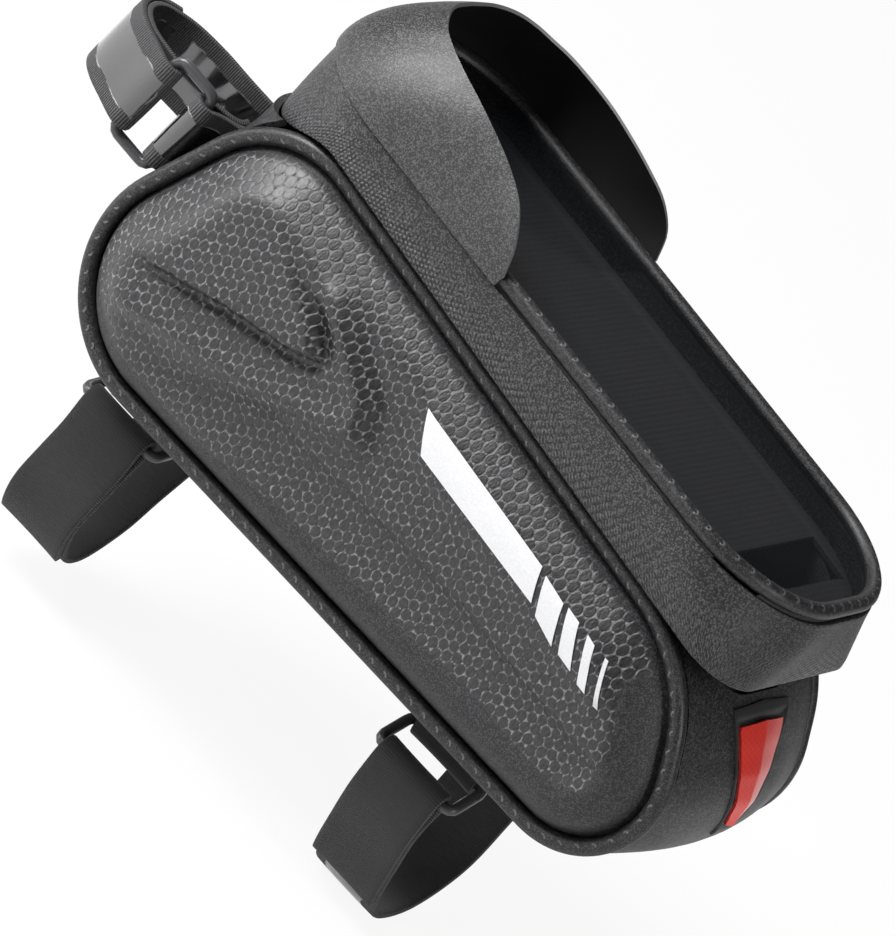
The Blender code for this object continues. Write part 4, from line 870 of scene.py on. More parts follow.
def beaded_print():
    """Reflective heat-transfer film: a pale layer of glass beads, too fine to see singly."""
    material, tree, shader = new_material("glass_bead_transfer_film", 0.55)
    place = add(tree, "TexCoord").outputs["Object"]
    bead = add(tree, "TexNoise", {"Vector": place, "Scale": 1800.0, "Detail": 2.0}).outputs[0]
    tree.links.new(add(tree, "Mix", {0: bead, 6: paint("#c8c8ca"), 7: paint("#e4e4e6")},
                       data_type="RGBA").outputs[2], shader.inputs["Base Color"])
    bump = add(tree, "Bump", {"Height": bead, "Strength": 0.1, "Distance": 0.05 * MM})
    tree.links.new(bump.outputs[0], shader.inputs["Normal"])
    return material


def reflector_plastic(looks):
    """Moulded red acrylic with rows of small prisms behind a smooth glossy face."""
    material, tree, shader = new_material("moulded_red_acrylic", 0.3, 1.49)
    place = add(tree, "TexCoord").outputs["Object"]
    spread = add(tree, "SeparateXYZ", {0: place})
    flat = add(tree, "CombineXYZ", {0: spread.outputs[1], 1: spread.outputs[2]}).outputs[0]
    prism = dot_lattice(tree, flat, 1.6 * MM)
    tree.links.new(add(tree, "Mix", {0: prism, 6: paint(looks.badge_colour), 7: paint("#c92a20")},
                       data_type="RGBA").outputs[2], shader.inputs["Base Color"])
    shader.inputs["Coat Weight"].default_value = 0.25
    shader.inputs["Coat Roughness"].default_value = 0.1
    bump = add(tree, "Bump", {"Height": prism, "Strength": 0.25, "Distance": 0.2 * MM})
    tree.links.new(bump.outputs[0], shader.inputs["Normal"])
    return material


def studio_floor(looks):
    """Seamless white paper: seen by the camera it is mostly its own white, and it keeps a soft shadow."""
    material, tree, shader = new_material("seamless_white_paper", 0.9)
    place = add(tree, "TexCoord").outputs["Object"]
    fibre = add(tree, "TexNoise", {"Vector": place, "Scale": 500.0}).outputs[0]
    tree.links.new(add(tree, "Mix", {0: fibre, 6: paint("#f1f1f1"), 7: paint("#f6f6f6")},
                       data_type="RGBA").outputs[2], shader.inputs["Base Color"])
    rays = add(tree, "LightPath")
    seen = add(tree, "Math", {0: rays.outputs["Is Camera Ray"], 1: rays.outputs["Is Transmission Ray"]},
               operation="MAXIMUM").outputs[0]
    # Gloss shows the paper at the level that the lamps give it, plus a part of its own white
    shown = add(tree, "Math", {0: rays.outputs["Is Glossy Ray"], 1: 0.45}, operation="MULTIPLY").outputs[0]
    seen = add(tree, "Math", {0: seen, 1: shown}, operation="MAXIMUM").outputs[0]
    white = add(tree, "Emission", {"Color": (1.0, 1.0, 1.0, 1.0), "Strength": 1.0})
    share = add(tree, "Math", {0: seen, 1: looks.floor_white}, operation="MULTIPLY").outputs[0]
    mix = add(tree, "MixShader", {0: share, 1: shader.outputs[0], 2: white.outputs[0]})
    tree.links.new(mix.outputs[0], tree.nodes["Material Output"].inputs["Surface"])
    return material


def kept_material(name, make):
    """A finish that several pieces share, made once."""
    return bpy.data.materials.get(name) or make()


# Settings

class ShellLooks(bpy.types.PropertyGroup):
    cell_pitch: bpy.props.FloatProperty(name="Cell pitch", description="Distance between two printed cells",
                                        default=0.00336, min=0.001, unit="LENGTH")
    cell_low: bpy.props.StringProperty(name="Cell colour", description="Dark tone of a cell, as sRGB hex",
                                       default="#090909")
    cell_high: bpy.props.StringProperty(name="Cell thread colour",
                                        description="Pale tone of a cell, as sRGB hex", default="#2a2a2c")


class SewnLooks(bpy.types.PropertyGroup):
    stitch_pitch: bpy.props.FloatProperty(name="Stitch pitch",
                                          description="Distance between two piping stitches",
                                          default=0.0052, min=0.001, unit="LENGTH")
    tick_pitch: bpy.props.FloatProperty(name="Tick pitch",
                                        description="Distance between two ticks on the band",
                                        default=0.0016, min=0.0005, unit="LENGTH")
    film_cover: bpy.props.FloatProperty(name="Film cover", description="How much the clear film hides",
                                        default=0.32, min=0.0, max=1.0, subtype="FACTOR")
    strap_border: bpy.props.FloatProperty(name="Strap border", description="Width of a strap's woven border",
                                          default=0.0048, min=0.001, unit="LENGTH")
    badge_colour: bpy.props.StringProperty(name="Badge colour",
                                           description="Colour of the badge, as sRGB hex", default="#f0392c")


class StageLooks(bpy.types.PropertyGroup):
    floor_white: bpy.props.FloatProperty(name="Floor white", description="Share of the floor's own white",
                                         default=0.9, min=0.0, max=1.0, subtype="FACTOR")
    lamp_level: bpy.props.FloatProperty(name="Lamp level", description="Scale of every lamp",
                                        default=1.0, min=0.0)


# Operators

class BuildSideShells(bpy.types.Operator):
    """Moulds the two side shells with their relief and printed cells"""
    bl_idname = "phonebag.side_shells"
    bl_label = "Side shells"

    def execute(self, context):
        looks = context.scene.phonebag_shell
        rim = panel_line(SHELL_RIM_INSET)
        material = cell_skin(looks)
        for name, side in (("left_side_shell", -1), ("right_side_shell", 1)):
            def place(u, v):
                x, z = across_outline(rim, u, v if side < 0 else 1 - v)
                out, _ = shell_out(x, z)
                return np.stack([x, side * (SHELL_RIM_Y + out), z], 1)

            obj = lay_grid(name + "_skin", 250, 92, place)
            merge_seams(obj)
            apply_modifier(obj, "SOLIDIFY", thickness=SKIN_THICKNESS, offset=-1.0)
            points = np.zeros(len(obj.data.vertices) * 3)
            obj.data.vertices.foreach_get("co", points)
            points = points.reshape(-1, 3)
            _, inset = shell_out(points[:, 0], points[:, 2])
            field = smooth_step(0.5 + inside_distance(points[:, 0] / MM, points[:, 2] / MM, CELL_FIELD) / 2.0)
            field *= smooth_step((inset / MM - FIELD_MARGIN) / FIELD_FADE)
            layer = obj.data.attributes.new("cells", "FLOAT", "POINT")
            layer.data.foreach_set("value", field.astype(np.float32))
            finish_piece(obj, BAG, [name], [material])
        return {"FINISHED"}


class BuildSidePrints(bpy.types.Operator):
    """Lays the bare reflective strip and its four slashes on both shells"""
    bl_idname = "phonebag.side_prints"
    bl_label = "Reflective prints"

    def execute(self, context):
        material = beaded_print()
        for name, side in (("left_reflective_print", -1), ("right_reflective_print", 1)):
            patches = []
            for index, corners in enumerate([PRINTED_STRIP] + PRINTED_SLASHES):
                corners = np.array(corners) * MM
                if side > 0:
                    corners = corners[::-1]

                def place(u, v):
                    u = u[:, None]
                    v = v[:, None]
                    flat = ((1 - u) * (1 - v) * corners[0] + (1 - u) * v * corners[1] + u * v * corners[2]
                            + u * (1 - v) * corners[3])
                    out, _ = shell_out(flat[:, 0], flat[:, 1])
                    return np.stack([flat[:, 0], side * (SHELL_RIM_Y + out + PRINT_LIFT), flat[:, 1]], 1)

                patch = lay_grid(f"{name}_{index}", 44 if index == 0 else 10, 12, place)
                apply_modifier(patch, "SOLIDIFY", thickness=PRINT_THICKNESS, offset=-1.0)
                turn_outwards(patch)
                patches.append(patch)
            bpy.ops.object.select_all(action="DESELECT")
            for patch in patches:
                patch.select_set(True)
            bpy.context.view_layer.objects.active = patches[0]
            bpy.ops.object.join()
            patches[0].name = name
            finish_piece(patches[0], BAG, [], [material])
        return {"FINISHED"}


class BuildPipings(bpy.types.Operator):
    """Sews the pipings round the side shells and the lid"""
    bl_idname = "phonebag.pipings"
    bl_label = "Pipings"

    def execute(self, context):
        looks = context.scene.phonebag_sewn
        line = panel_line(0.0)
        # The sewn cord fills the gap that the solids keep, so no light comes through the seam
        radius = PIPING_RADIUS + CLEAR
        half_turn = math.pi * radius
        for name, side in (("left_piping", -1), ("right_piping", 1)):
            centres = [(x, side * BODY_HALF_WIDTH, z) for x, z in line]
            # The stitches lie on the face turned away from the bag's middle
            share = half_turn if side > 0 else 0.0
            material = stitched_piping(name + "_stitched_leather", looks, share, "#5f5f61", 0.95 * MM)
            obj = round_cord(name + "_cord", centres, (0, 1, 0), radius)
            turn_outwards(obj)
            finish_piece(obj, BAG, [name], [material], 60.0)
        centres = [(x, y, lid_plane(x)) for x, y in lid_outline(0.0)]
        material = stitched_piping("lid_piping_stitched_leather", looks, math.pi * LID_PIPING_RADIUS,
                                   "#4c4c4e", 0.7 * MM)
        obj = round_cord("lid_piping_cord", centres, LID_UP, LID_PIPING_RADIUS + CLEAR)
        turn_outwards(obj)
        finish_piece(obj, LID, ["lid_piping"], [material], 60.0)
        return {"FINISHED"}


def open_round(front_x, rear_x, half_width, radius, y):
    """Where a U-shaped line open to the front lies at y: its x on the rear round, or front_x beside it."""
    past = abs(y) - (half_width - radius)
    if past <= 0:
        return rear_x
    if past >= radius:
        return front_x
    return rear_x - radius + math.sqrt(radius * radius - past * past)


def gusset_row(y):
    """Outer line of the gusset at this y, from the lid's seam in front to the zip's rear round."""
    arc_steps = 7
    share = min(1.0, abs(y) / GUSSET_HALF_WIDTH)
    path = rounded_outline(PANEL_CORNERS, PANEL_RADII, 0.0, arc_steps, [2, 12, 2, 12])
    path = path[:len(path) - 11]
    normals = []
    for k in range(len(path)):
        along = unit(path[min(k + 1, len(path) - 1)] - path[max(k - 1, 0)])
        normals.append((along[1], -along[0]))
    normals = np.array(normals)
    crown = GUSSET_CROWN * (1.0 - share * share) * normals[:, 0] ** 2
    rows = np.array(path) + normals * crown[:, None]
    past = max(0.0, abs(y) - (BAND_FOOT_HALF_WIDTH - LID_CORNER_RADIUS))
    seam_x = BAND_FOOT_FRONT_X + LID_CORNER_RADIUS - math.sqrt(LID_CORNER_RADIUS ** 2 - past ** 2)
    seam = np.array([seam_x, band_foot_z(seam_x) - SEAM_GAP])
    front = rows[:arc_steps + 1].copy()
    skipped = float(np.interp(-seam_x, -front[:, 0], range(arc_steps + 1)))
    for k in range(arc_steps + 1):
        position = skipped + (arc_steps - skipped) * k / arc_steps
        low = min(int(position), arc_steps - 1)
        rows[k] = front[low] + (front[low + 1] - front[low]) * (position - low)
    reach = arc_steps + 1
    pull = seam - rows[0]
    for k in range(reach):
        rows[k] += pull * (1 - k / reach) ** 2
    end_x = open_round(rows[-1][0], ZIP_REAR_X + GUSSET_PAST_ZIP, GUSSET_HALF_WIDTH + CLEAR,
                       ZIP_RADIUS + GUSSET_PAST_ZIP, y)
    first = len(rows) - arc_steps - 1
    rear = rows[first:].copy()
    stop = arc_steps
    for k in range(arc_steps):
        if rear[k][0] >= end_x >= rear[k + 1][0]:
            stop = k + (rear[k][0] - end_x) / (rear[k][0] - rear[k + 1][0])
            break
    for k in range(arc_steps + 1):
        position = stop * k / arc_steps
        low = min(int(position), arc_steps - 1)
        rows[first + k] = rear[low] + (rear[low + 1] - rear[low]) * (position - low)
    return rows


class BuildGusset(bpy.types.Operator):
    """Stretches the gusset round the front, the underside and the rear"""
    bl_idname = "phonebag.gusset"
    bl_label = "Gusset"

    def execute(self, context):
        columns = 150
        rows = 40
        shares = np.linspace(0.0, 1.0, columns + 1)
        table = []
        for j in range(rows + 1):
            y = GUSSET_HALF_WIDTH * math.sin(0.5 * math.pi * (2 * j / rows - 1))
            line = sample(smooth_route(gusset_row(y), 1.5 * MM), shares)
            table.append([(x, y, z) for x, z in line])
        table = np.array(table)
        length = lengths_along(table[rows // 2])[-1]

        def place(u, v):
            return table[np.rint(v * rows).astype(int), np.rint(u * columns).astype(int)]

        obj = lay_grid("gusset_skin", columns, rows, place, (length, 2 * GUSSET_HALF_WIDTH))
        apply_modifier(obj, "SOLIDIFY", thickness=GUSSET_THICKNESS, offset=-1.0)
        leather = kept_material("black_pu_leather_grained", lambda: grained_leather(
            "black_pu_leather_grained", "#161617", "#4e4e50", 0.46, 0.6, 0.7))
        finish_piece(obj, BAG, ["gusset"], [leather])
        return {"FINISHED"}


class BuildLidBand(bpy.types.Operator):
    """Sews the lid's side wall, with its bulge and its stippled lower part"""
    bl_idname = "phonebag.lid_band"
    bl_label = "Lid band"

    def execute(self, context):
        columns = 300
        rows = 16
        shares = np.linspace(0.0, 1.0, columns + 1)
        top = lid_outline(BAND_TOP_OFFSET)
        foot = plan_outline(BAND_FOOT_FRONT_X, BAND_FOOT_REAR_X, BAND_FOOT_HALF_WIDTH, LID_CORNER_RADIUS,
                            BAND_REAR_RADIUS)
        spots = np.arange(len(top) + 1) / len(top)
        lines = []
        for outline in (top, foot):
            ring = closed(outline)
            lines.append(np.stack([np.interp(shares, spots, ring[:, axis]) for axis in (0, 1)], 1))
        top, foot = lines
        along = unit_rows(np.roll(top[:-1], -1, axis=0) - np.roll(top[:-1], 1, axis=0))
        out = np.stack([along[:, 1], -along[:, 0]], 1)
        out = closed(out)
        length = lengths_along(foot)[-1]
        top_z = lid_plane(top[:, 0]) - LID_PIPING_RADIUS - CLEAR
        foot_z = band_foot_z(foot[:, 0])

        def place(u, v):
            k = np.rint(u * columns).astype(int)
            share = 1 - v
            flare = (share ** 1.4)[:, None]
            plan = top[k] + (foot[k] - top[k]) * flare
            bulge = 0.5 * MM * np.sin(math.pi * share) - 0.3 * MM * smooth_step((share - 0.86) / 0.14)
            plan = plan + out[k] * bulge[:, None]
            return np.stack([plan[:, 0], plan[:, 1], top_z[k] + (foot_z[k] - top_z[k]) * share], 1)

        height = float(np.mean(top_z - foot_z))
        obj = lay_grid("lid_band_skin", columns, rows, place, (length, height))
        merge_seams(obj)
        apply_modifier(obj, "SOLIDIFY", thickness=BAND_THICKNESS, offset=-1.0)
        apply_modifier(obj, "BEVEL", width=0.5 * MM, segments=2, limit_method="ANGLE",
                       angle_limit=math.radians(50))
        finish_piece(obj, LID, ["lid_band"],
                     [stippled_leather("black_pu_leather_stippled", context.scene.phonebag_sewn)])
        return {"FINISHED"}


def unit_rows(vectors):
    return vectors / np.linalg.norm(vectors, axis=1)[:, None]


class BuildSunVisor(bpy.types.Operator):
    """Stands the sun visor round the front of the lid"""
    bl_idname = "phonebag.sun_visor"
    bl_label = "Sun visor"

    def execute(self, context):
        half_columns = 60
        columns = 2 * half_columns
        rows = 18
        loop = lid_outline(LID_PIPING_RADIUS + 2 * CLEAR + 0.5 * VISOR_THICKNESS)
        middle = PLAN_ARC_STEPS + PLAN_END_STEPS // 2
        half_foot = [(0.0, loop[0][1])] + [tuple(p) for p in loop[:middle + 1]]
        shares = np.linspace(0.0, 1.0, half_columns + 1)
        foot = sample([(x, y, lid_plane(x) - LID_PIPING_RADIUS) for x, y in half_foot], shares)
        rim_points = [(x * MM, y * MM, lid_plane(x * MM) + height * MM) for x, y, height in VISOR_RIM]
        rim = sample(smooth_route(rim_points, 1.5 * MM), shares)
        mirror = (1, -1, 1)
        foot = np.concatenate([foot, foot[-2::-1] * mirror])
        rim = np.concatenate([rim, rim[-2::-1] * mirror])

        def place(u, v):
            k = np.rint(u * columns).astype(int)
            lean = (v ** VISOR_LEAN_POWER)[:, None]
            lift = v[:, None]
            return foot[k] + (rim[k] - foot[k]) * np.concatenate([lean, lean, lift], 1)

        length = lengths_along(foot)[-1]
        obj = lay_grid("sun_visor_sheet", columns, rows, place, (length, 20 * MM), 3)
        apply_modifier(obj, "SOLIDIFY", thickness=VISOR_THICKNESS, offset=0.0, material_offset=1,
                       material_offset_rim=2)
        outside = grained_leather("visor_leather_grained", "#272728", "#585859", 0.5, 0.5, 0.5)
        inside = plain_skin("visor_lining_smooth", "#09090a", 0.62)
        cut = plain_skin("visor_cut_edge", "#6a6a6c", 0.6)
        finish_piece(obj, LID, ["sun_visor"], [outside, inside, cut], 50.0)
        return {"FINISHED"}


class BuildWindow(bpy.types.Operator):
    """Sets the clear window film and the ribbed pocket panel below it"""
    bl_idname = "phonebag.window"
    bl_label = "Window and pocket"

    def execute(self, context):
        film_line = lid_outline(-LID_PIPING_RADIUS - CLEAR)

        def place_film(u, v):
            x, y = across_outline(film_line, u, v)
            edge = inside_distance(x, y, [tuple(p) for p in film_line])
            crown = 0.7 * MM * smooth_step(edge / (12 * MM))
            return np.stack([x, y, lid_plane(x) + 0.5 * FILM_THICKNESS + crown], 1)

        obj = lay_grid("window_film_sheet", 120, 48, place_film)
        merge_seams(obj)
        apply_modifier(obj, "SOLIDIFY", thickness=FILM_THICKNESS, offset=-1.0)
        finish_piece(obj, LID, ["window_film"], [clear_film(context.scene.phonebag_sewn)])

        panel_outline = lid_outline(0.2 * MM)

        def place_panel(u, v):
            x, y = across_outline(panel_outline, u, v)
            edge = inside_distance(x, y, [tuple(p) for p in panel_outline])
            pad = 0.9 * MM * smooth_step((edge - 2 * MM) / (8 * MM))
            return np.stack([x, y, lid_plane(x) - POCKET_DEPTH + pad], 1)

        panel = lay_grid("pocket_panel_pad", 110, 44, place_panel)
        merge_seams(panel)
        cut_slot(panel)
        apply_modifier(panel, "SOLIDIFY", thickness=POCKET_PANEL_THICKNESS, offset=-1.0)
        finish_piece(panel, LID, ["pocket_panel"],
                     [ribbed_cloth("ribbed_knit_lining", "#141415", "#303032", 1.8, 0.8)])
        return {"FINISHED"}


def cut_slot(obj):
    """Cuts the pocket's slot out of the panel: four straight cuts, and the faces between them removed."""
    for place, normal in (((POCKET_SLOT_FRONT_X, 0, 0), (1, 0, 0)),
                          ((POCKET_SLOT_REAR_X, 0, 0), (1, 0, 0)),
                          ((0, POCKET_SLOT_HALF_WIDTH, 0), (0, 1, 0)),
                          ((0, -POCKET_SLOT_HALF_WIDTH, 0), (0, 1, 0))):
        activate(obj)
        bpy.ops.object.mode_set(mode="EDIT")
        bpy.ops.mesh.select_all(action="SELECT")
        bpy.ops.mesh.bisect(plane_co=place, plane_no=normal)
        bpy.ops.object.mode_set(mode="OBJECT")
    for edge in obj.data.edges:
        edge.select = False
    for vertex in obj.data.vertices:
        vertex.select = False
    for face in obj.data.polygons:
        x, y, _ = face.center
        face.select = POCKET_SLOT_FRONT_X < x < POCKET_SLOT_REAR_X and abs(y) < POCKET_SLOT_HALF_WIDTH
    bpy.ops.object.mode_set(mode="EDIT")
    bpy.ops.mesh.select_mode(type="FACE")
    bpy.ops.mesh.delete(type="FACE")
    bpy.ops.object.mode_set(mode="OBJECT")


def strap_materials(looks):
    pile = "loop_pile_cloth"
    outer = kept_material("nylon_webbing_with_film", lambda: strap_face(looks))
    inner = kept_material(pile, lambda: ribbed_cloth(pile, "#0b0b0c", "#262627", 0.7, 0.85, True))
    return outer, inner


def ring_plastic():
    """Injection moulded acetal: smooth, dark grey and softly glossy."""
    name = "acetal_ring"
    return kept_material(name, lambda: plain_skin(name, "#39393b", 0.3, 0.8, 0.06))


def lay_strap(name, centres, widths, node, looks):
    obj = webbing(name, centres, widths)
    turn_outwards(obj)
    outer, inner = strap_materials(looks)
    finish_piece(obj, BAG, [node], [outer, inner], 45.0)


def lay_ring(name, middle, long_axis, short_axis, node, material):
    corners = [(-RING_HALF_LENGTH, -RING_HALF_GAP), (RING_HALF_LENGTH, -RING_HALF_GAP),
               (RING_HALF_LENGTH, RING_HALF_GAP), (-RING_HALF_LENGTH, RING_HALF_GAP)]
    outline = rounded_outline(corners, [RING_CORNER] * 4, 0.0, 8, [6, 3, 6, 3])
    long_axis = unit(long_axis)
    short_axis = unit(short_axis)
    centres = [np.array(middle) + long_axis * u + short_axis * v for u, v in outline]
    obj = round_cord(name, centres, np.cross(long_axis, short_axis), RING_BAR_RADIUS, 16)
    turn_outwards(obj)
    finish_piece(obj, BAG, [node], [material], 60.0)


def millimetres(pairs):
    return [(a * MM, b * MM) for a, b in pairs]


class BuildTubeStraps(bpy.types.Operator):
    """Sews the two straps under the bag, with their rings and tabs"""
    bl_idname = "phonebag.tube_straps"
    bl_label = "Top tube straps"

    def execute(self, context):
        looks = context.scene.phonebag_sewn
        plastic = ring_plastic()
        for prefix, x, near_bar, tilt, loop in (
                ("front_tube", FRONT_TUBE_STRAP_X, (-21 * MM, -16 * MM), math.radians(8.0), FRONT_TUBE_LOOP),
                ("rear_tube", REAR_TUBE_STRAP_X, (-26 * MM, -21.5 * MM), math.radians(26.0), REAR_TUBE_LOOP)):
            far_bar = np.array(near_bar) + RING_SPAN * np.array([math.cos(tilt), math.sin(tilt)])
            route = hairpin(millimetres(loop), (0.25, 1.0), near_bar, 1, 42 * MM, 2.4 * MM)
            across = np.array([1.0, 0.0, 0.0])
            centres = [(x, y, min(z, UNDERSIDE)) for y, z in route]
            lay_strap(prefix + "_strap_webbing", centres, [across] * len(centres), prefix + "_strap", looks)
            middle = (x, 0.5 * (near_bar[0] + far_bar[0]), 0.5 * (near_bar[1] + far_bar[1]))
            lay_ring(prefix + "_ring_moulding", middle, (1, 0, 0), (0, math.cos(tilt), math.sin(tilt)),
                     prefix + "_ring", plastic)
            rise = far_bar[1] - UNDERSIDE
            tab_points = [(far_bar[0] + 16 * MM, UNDERSIDE), (far_bar[0] + 10 * MM, UNDERSIDE),
                          (far_bar[0] + 4 * MM, UNDERSIDE + 0.12 * rise)]
            tab = hairpin(tab_points, (-0.45, -1.0), far_bar, 1, 22 * MM, 2.0 * MM)
            centres = [(x, y, min(z, UNDERSIDE)) for y, z in tab]
            lay_strap(prefix + "_tab_webbing", centres, [across] * len(centres), prefix + "_ring_tab", looks)
        return {"FINISHED"}


FRONT_SLOPE_X = PANEL_CORNERS[0][0] - PANEL_CORNERS[1][0]
FRONT_UP = unit((FRONT_SLOPE_X, 0.0, PANEL_CORNERS[0][1]))
LOOP_UP = np.array([math.sin(LOOP_LEAN), 0.0, math.cos(LOOP_LEAN)])


def front_face_x(y, z):
    """The gusset's outer face on the front at y and z, between its two corners."""
    line = PANEL_CORNERS[1][0] + FRONT_SLOPE_X * z / PANEL_CORNERS[0][1]
    return line - GUSSET_CROWN * (1 - (y / GUSSET_HALF_WIDTH) ** 2) * FRONT_UP[2]


class BuildHeadStrap(bpy.types.Operator):
    """Sews the head tube strap in front, with its ring and tab"""
    bl_idname = "phonebag.head_strap"
    bl_label = "Head tube strap"

    def execute(self, context):
        looks = context.scene.phonebag_sewn
        inner_x = front_face_x(RING_SIDE_Y, HEAD_STRAP_Z) - RING_OFF_FACE

        def height(x):
            return HEAD_STRAP_Z + (inner_x - x) * math.tan(LOOP_LEAN)

        def lay(y):
            x = inner_x
            for _ in range(4):
                x = front_face_x(y, height(x)) - (HEAD_SEAT_GAP + 0.5 * STRAP_THICKNESS) / FRONT_UP[2]
            return (x, y)

        def across(gone):
            share = float(smooth_step(gone))
            return unit(FRONT_UP * (1 - share) + LOOP_UP * share)

        toward = unit((1.0, 0.16))
        inner_bar = np.array((inner_x, RING_SIDE_Y))
        outer_bar = inner_bar - RING_SPAN * toward
        start = front_face_x(0.0, HEAD_STRAP_Z)
        loop = [lay(16 * MM), lay(9 * MM), (start - 5 * MM, 2.5 * MM), (start - 14 * MM, -1.5 * MM),
                (start - 24 * MM, -4 * MM), (start - 34 * MM, -8.5 * MM), (start - 41 * MM, -17 * MM),
                (start - 40 * MM, -26 * MM), (start - 33 * MM, -31.5 * MM)]
        route = hairpin(loop, (1.0, -0.05), outer_bar, -1, 38 * MM, 2.2 * MM)
        gone = lengths_along(route)
        centres = [(x, y, height(x)) for x, y in route]
        widths = [across((distance - 13 * MM) / (22 * MM)) for distance in gone]
        lay_strap("head_tube_strap_webbing", centres, widths, "head_tube_strap", looks)
        middle = 0.5 * (outer_bar + inner_bar)
        plastic = ring_plastic()
        lay_ring("head_tube_ring_moulding", (middle[0], middle[1], height(middle[0])), LOOP_UP,
                 (toward[0], toward[1], -toward[0] * math.tan(LOOP_LEAN)), "head_tube_ring", plastic)
        tab = hairpin([lay(-10 * MM), lay(-16 * MM), lay(-22 * MM)], (-0.25, -1.0), inner_bar, -1, 18 * MM,
                      1.6 * MM)
        centres = [(x, y, height(x)) for x, y in tab]
        reach = RING_SIDE_Y + 22 * MM
        widths = [across((y + 22 * MM) / reach) for x, y in tab]
        lay_strap("head_tube_tab_webbing", centres, widths, "head_tube_ring_tab", looks)
        return {"FINISHED"}


class BuildBadge(bpy.types.Operator):
    """Moulds the rear badge plate with its rim, and the red reflector in it"""
    bl_idname = "phonebag.badge"
    bl_label = "Rear badge"

    def execute(self, context):
        rows = {round(y / MM, 2): gusset_row(y) for y in np.arange(-20, 20.01, 1.0) * MM}
        levels = np.linspace(8 * MM, 58 * MM, 51)
        sides = np.array(sorted(rows))
        face = []
        for key in sides:
            line = rows[key][len(rows[key]) // 2:]
            line = line[int(np.argmin(line[:, 1])):]
            face.append(np.interp(levels, line[:, 1], line[:, 0]))
        face = np.array(face)

        def rear_x(y, z):
            """The gusset's rear face at y and z."""
            a = np.clip(y / MM - sides[0], 0, len(sides) - 1.001)
            b = np.clip((z - levels[0]) / MM, 0, len(levels) - 1.001)
            i = a.astype(int)
            j = b.astype(int)
            s = a - i
            t = b - j
            return ((1 - s) * (1 - t) * face[i, j] + s * (1 - t) * face[i + 1, j]
                    + (1 - s) * t * face[i, j + 1] + s * t * face[i + 1, j + 1])

        def shield(scale, gap, swell):
            def place(u, v):
                widened = (BADGE_TOP_HALF - BADGE_FOOT_HALF) * np.minimum(1.0, v / BADGE_SHOULDER)
                half = (BADGE_FOOT_HALF + widened) * scale
                side = 2 * u - 1
                y = half * side
                above = np.maximum(0.0, v - BADGE_SHOULDER) / (1 - BADGE_SHOULDER)
                peak = BADGE_PEAK * BADGE_HEIGHT * scale * above
                z = BADGE_Z + BADGE_HEIGHT * scale * (v - 0.5) - peak * np.abs(side)
                step = MM
                slope = (rear_x(y, z + step) - rear_x(y, z - step)) / (2 * step)
                turn = (rear_x(y + step, z) - rear_x(y - step, z)) / (2 * step)
                out = unit_rows(np.stack([np.ones_like(y), -turn, -slope], 1))
                base = np.stack([rear_x(y, z), y, z], 1)
                return base + out * (gap + swell(side, v))[:, None]

            return place

        def plate_face(side, v):
            edge = np.minimum(np.minimum(1 - np.abs(side), v), 1 - v)
            return BADGE_THICKNESS - 0.9 * MM * smooth_step((edge - 0.07) / 0.05)

        def insert_face(side, v):
            return BADGE_INSERT_THICKNESS + 0.9 * MM * (1 - np.abs(side)) - 0.3 * MM * v

        plate = lay_grid("rear_badge_plate_moulding", 40, 40, shield(1.0, BADGE_GAP, plate_face))
        apply_modifier(plate, "SOLIDIFY", thickness=1.2 * MM, offset=-1.0)
        apply_modifier(plate, "BEVEL", width=0.3 * MM, segments=2, limit_method="ANGLE",
                       angle_limit=math.radians(50))
        finish_piece(plate, BAG, ["rear_badge_plate"],
                     [plain_skin("moulded_badge_rubber", "#202022", 0.45)])
        insert = lay_grid("rear_badge_reflector", 24, 24, shield(0.78, BADGE_GAP + 1.5 * MM, insert_face))
        apply_modifier(insert, "SOLIDIFY", thickness=0.9 * MM, offset=-1.0)
        finish_piece(insert, BAG, ["rear_badge_insert"],
                     [reflector_plastic(context.scene.phonebag_sewn)], 25.0)
        return {"FINISHED"}


def zip_line():
    """Plan of the zip, open at the front: left side, rear round, right side."""
    straight_end = ZIP_REAR_X - ZIP_RADIUS
    middle_y = ZIP_HALF_WIDTH - ZIP_RADIUS
    points = [(x, -ZIP_HALF_WIDTH) for x in np.linspace(ZIP_FRONT_X, straight_end, 40)]
    for side in (-1, 1):
        for angle in (0.5 * math.pi * np.arange(1, 9) / 8)[::-side]:
            points.append((straight_end + ZIP_RADIUS * math.sin(angle),
                           side * (middle_y + ZIP_RADIUS * math.cos(angle))))
    return points + [(x, ZIP_HALF_WIDTH) for x in np.linspace(straight_end, ZIP_FRONT_X, 40)]


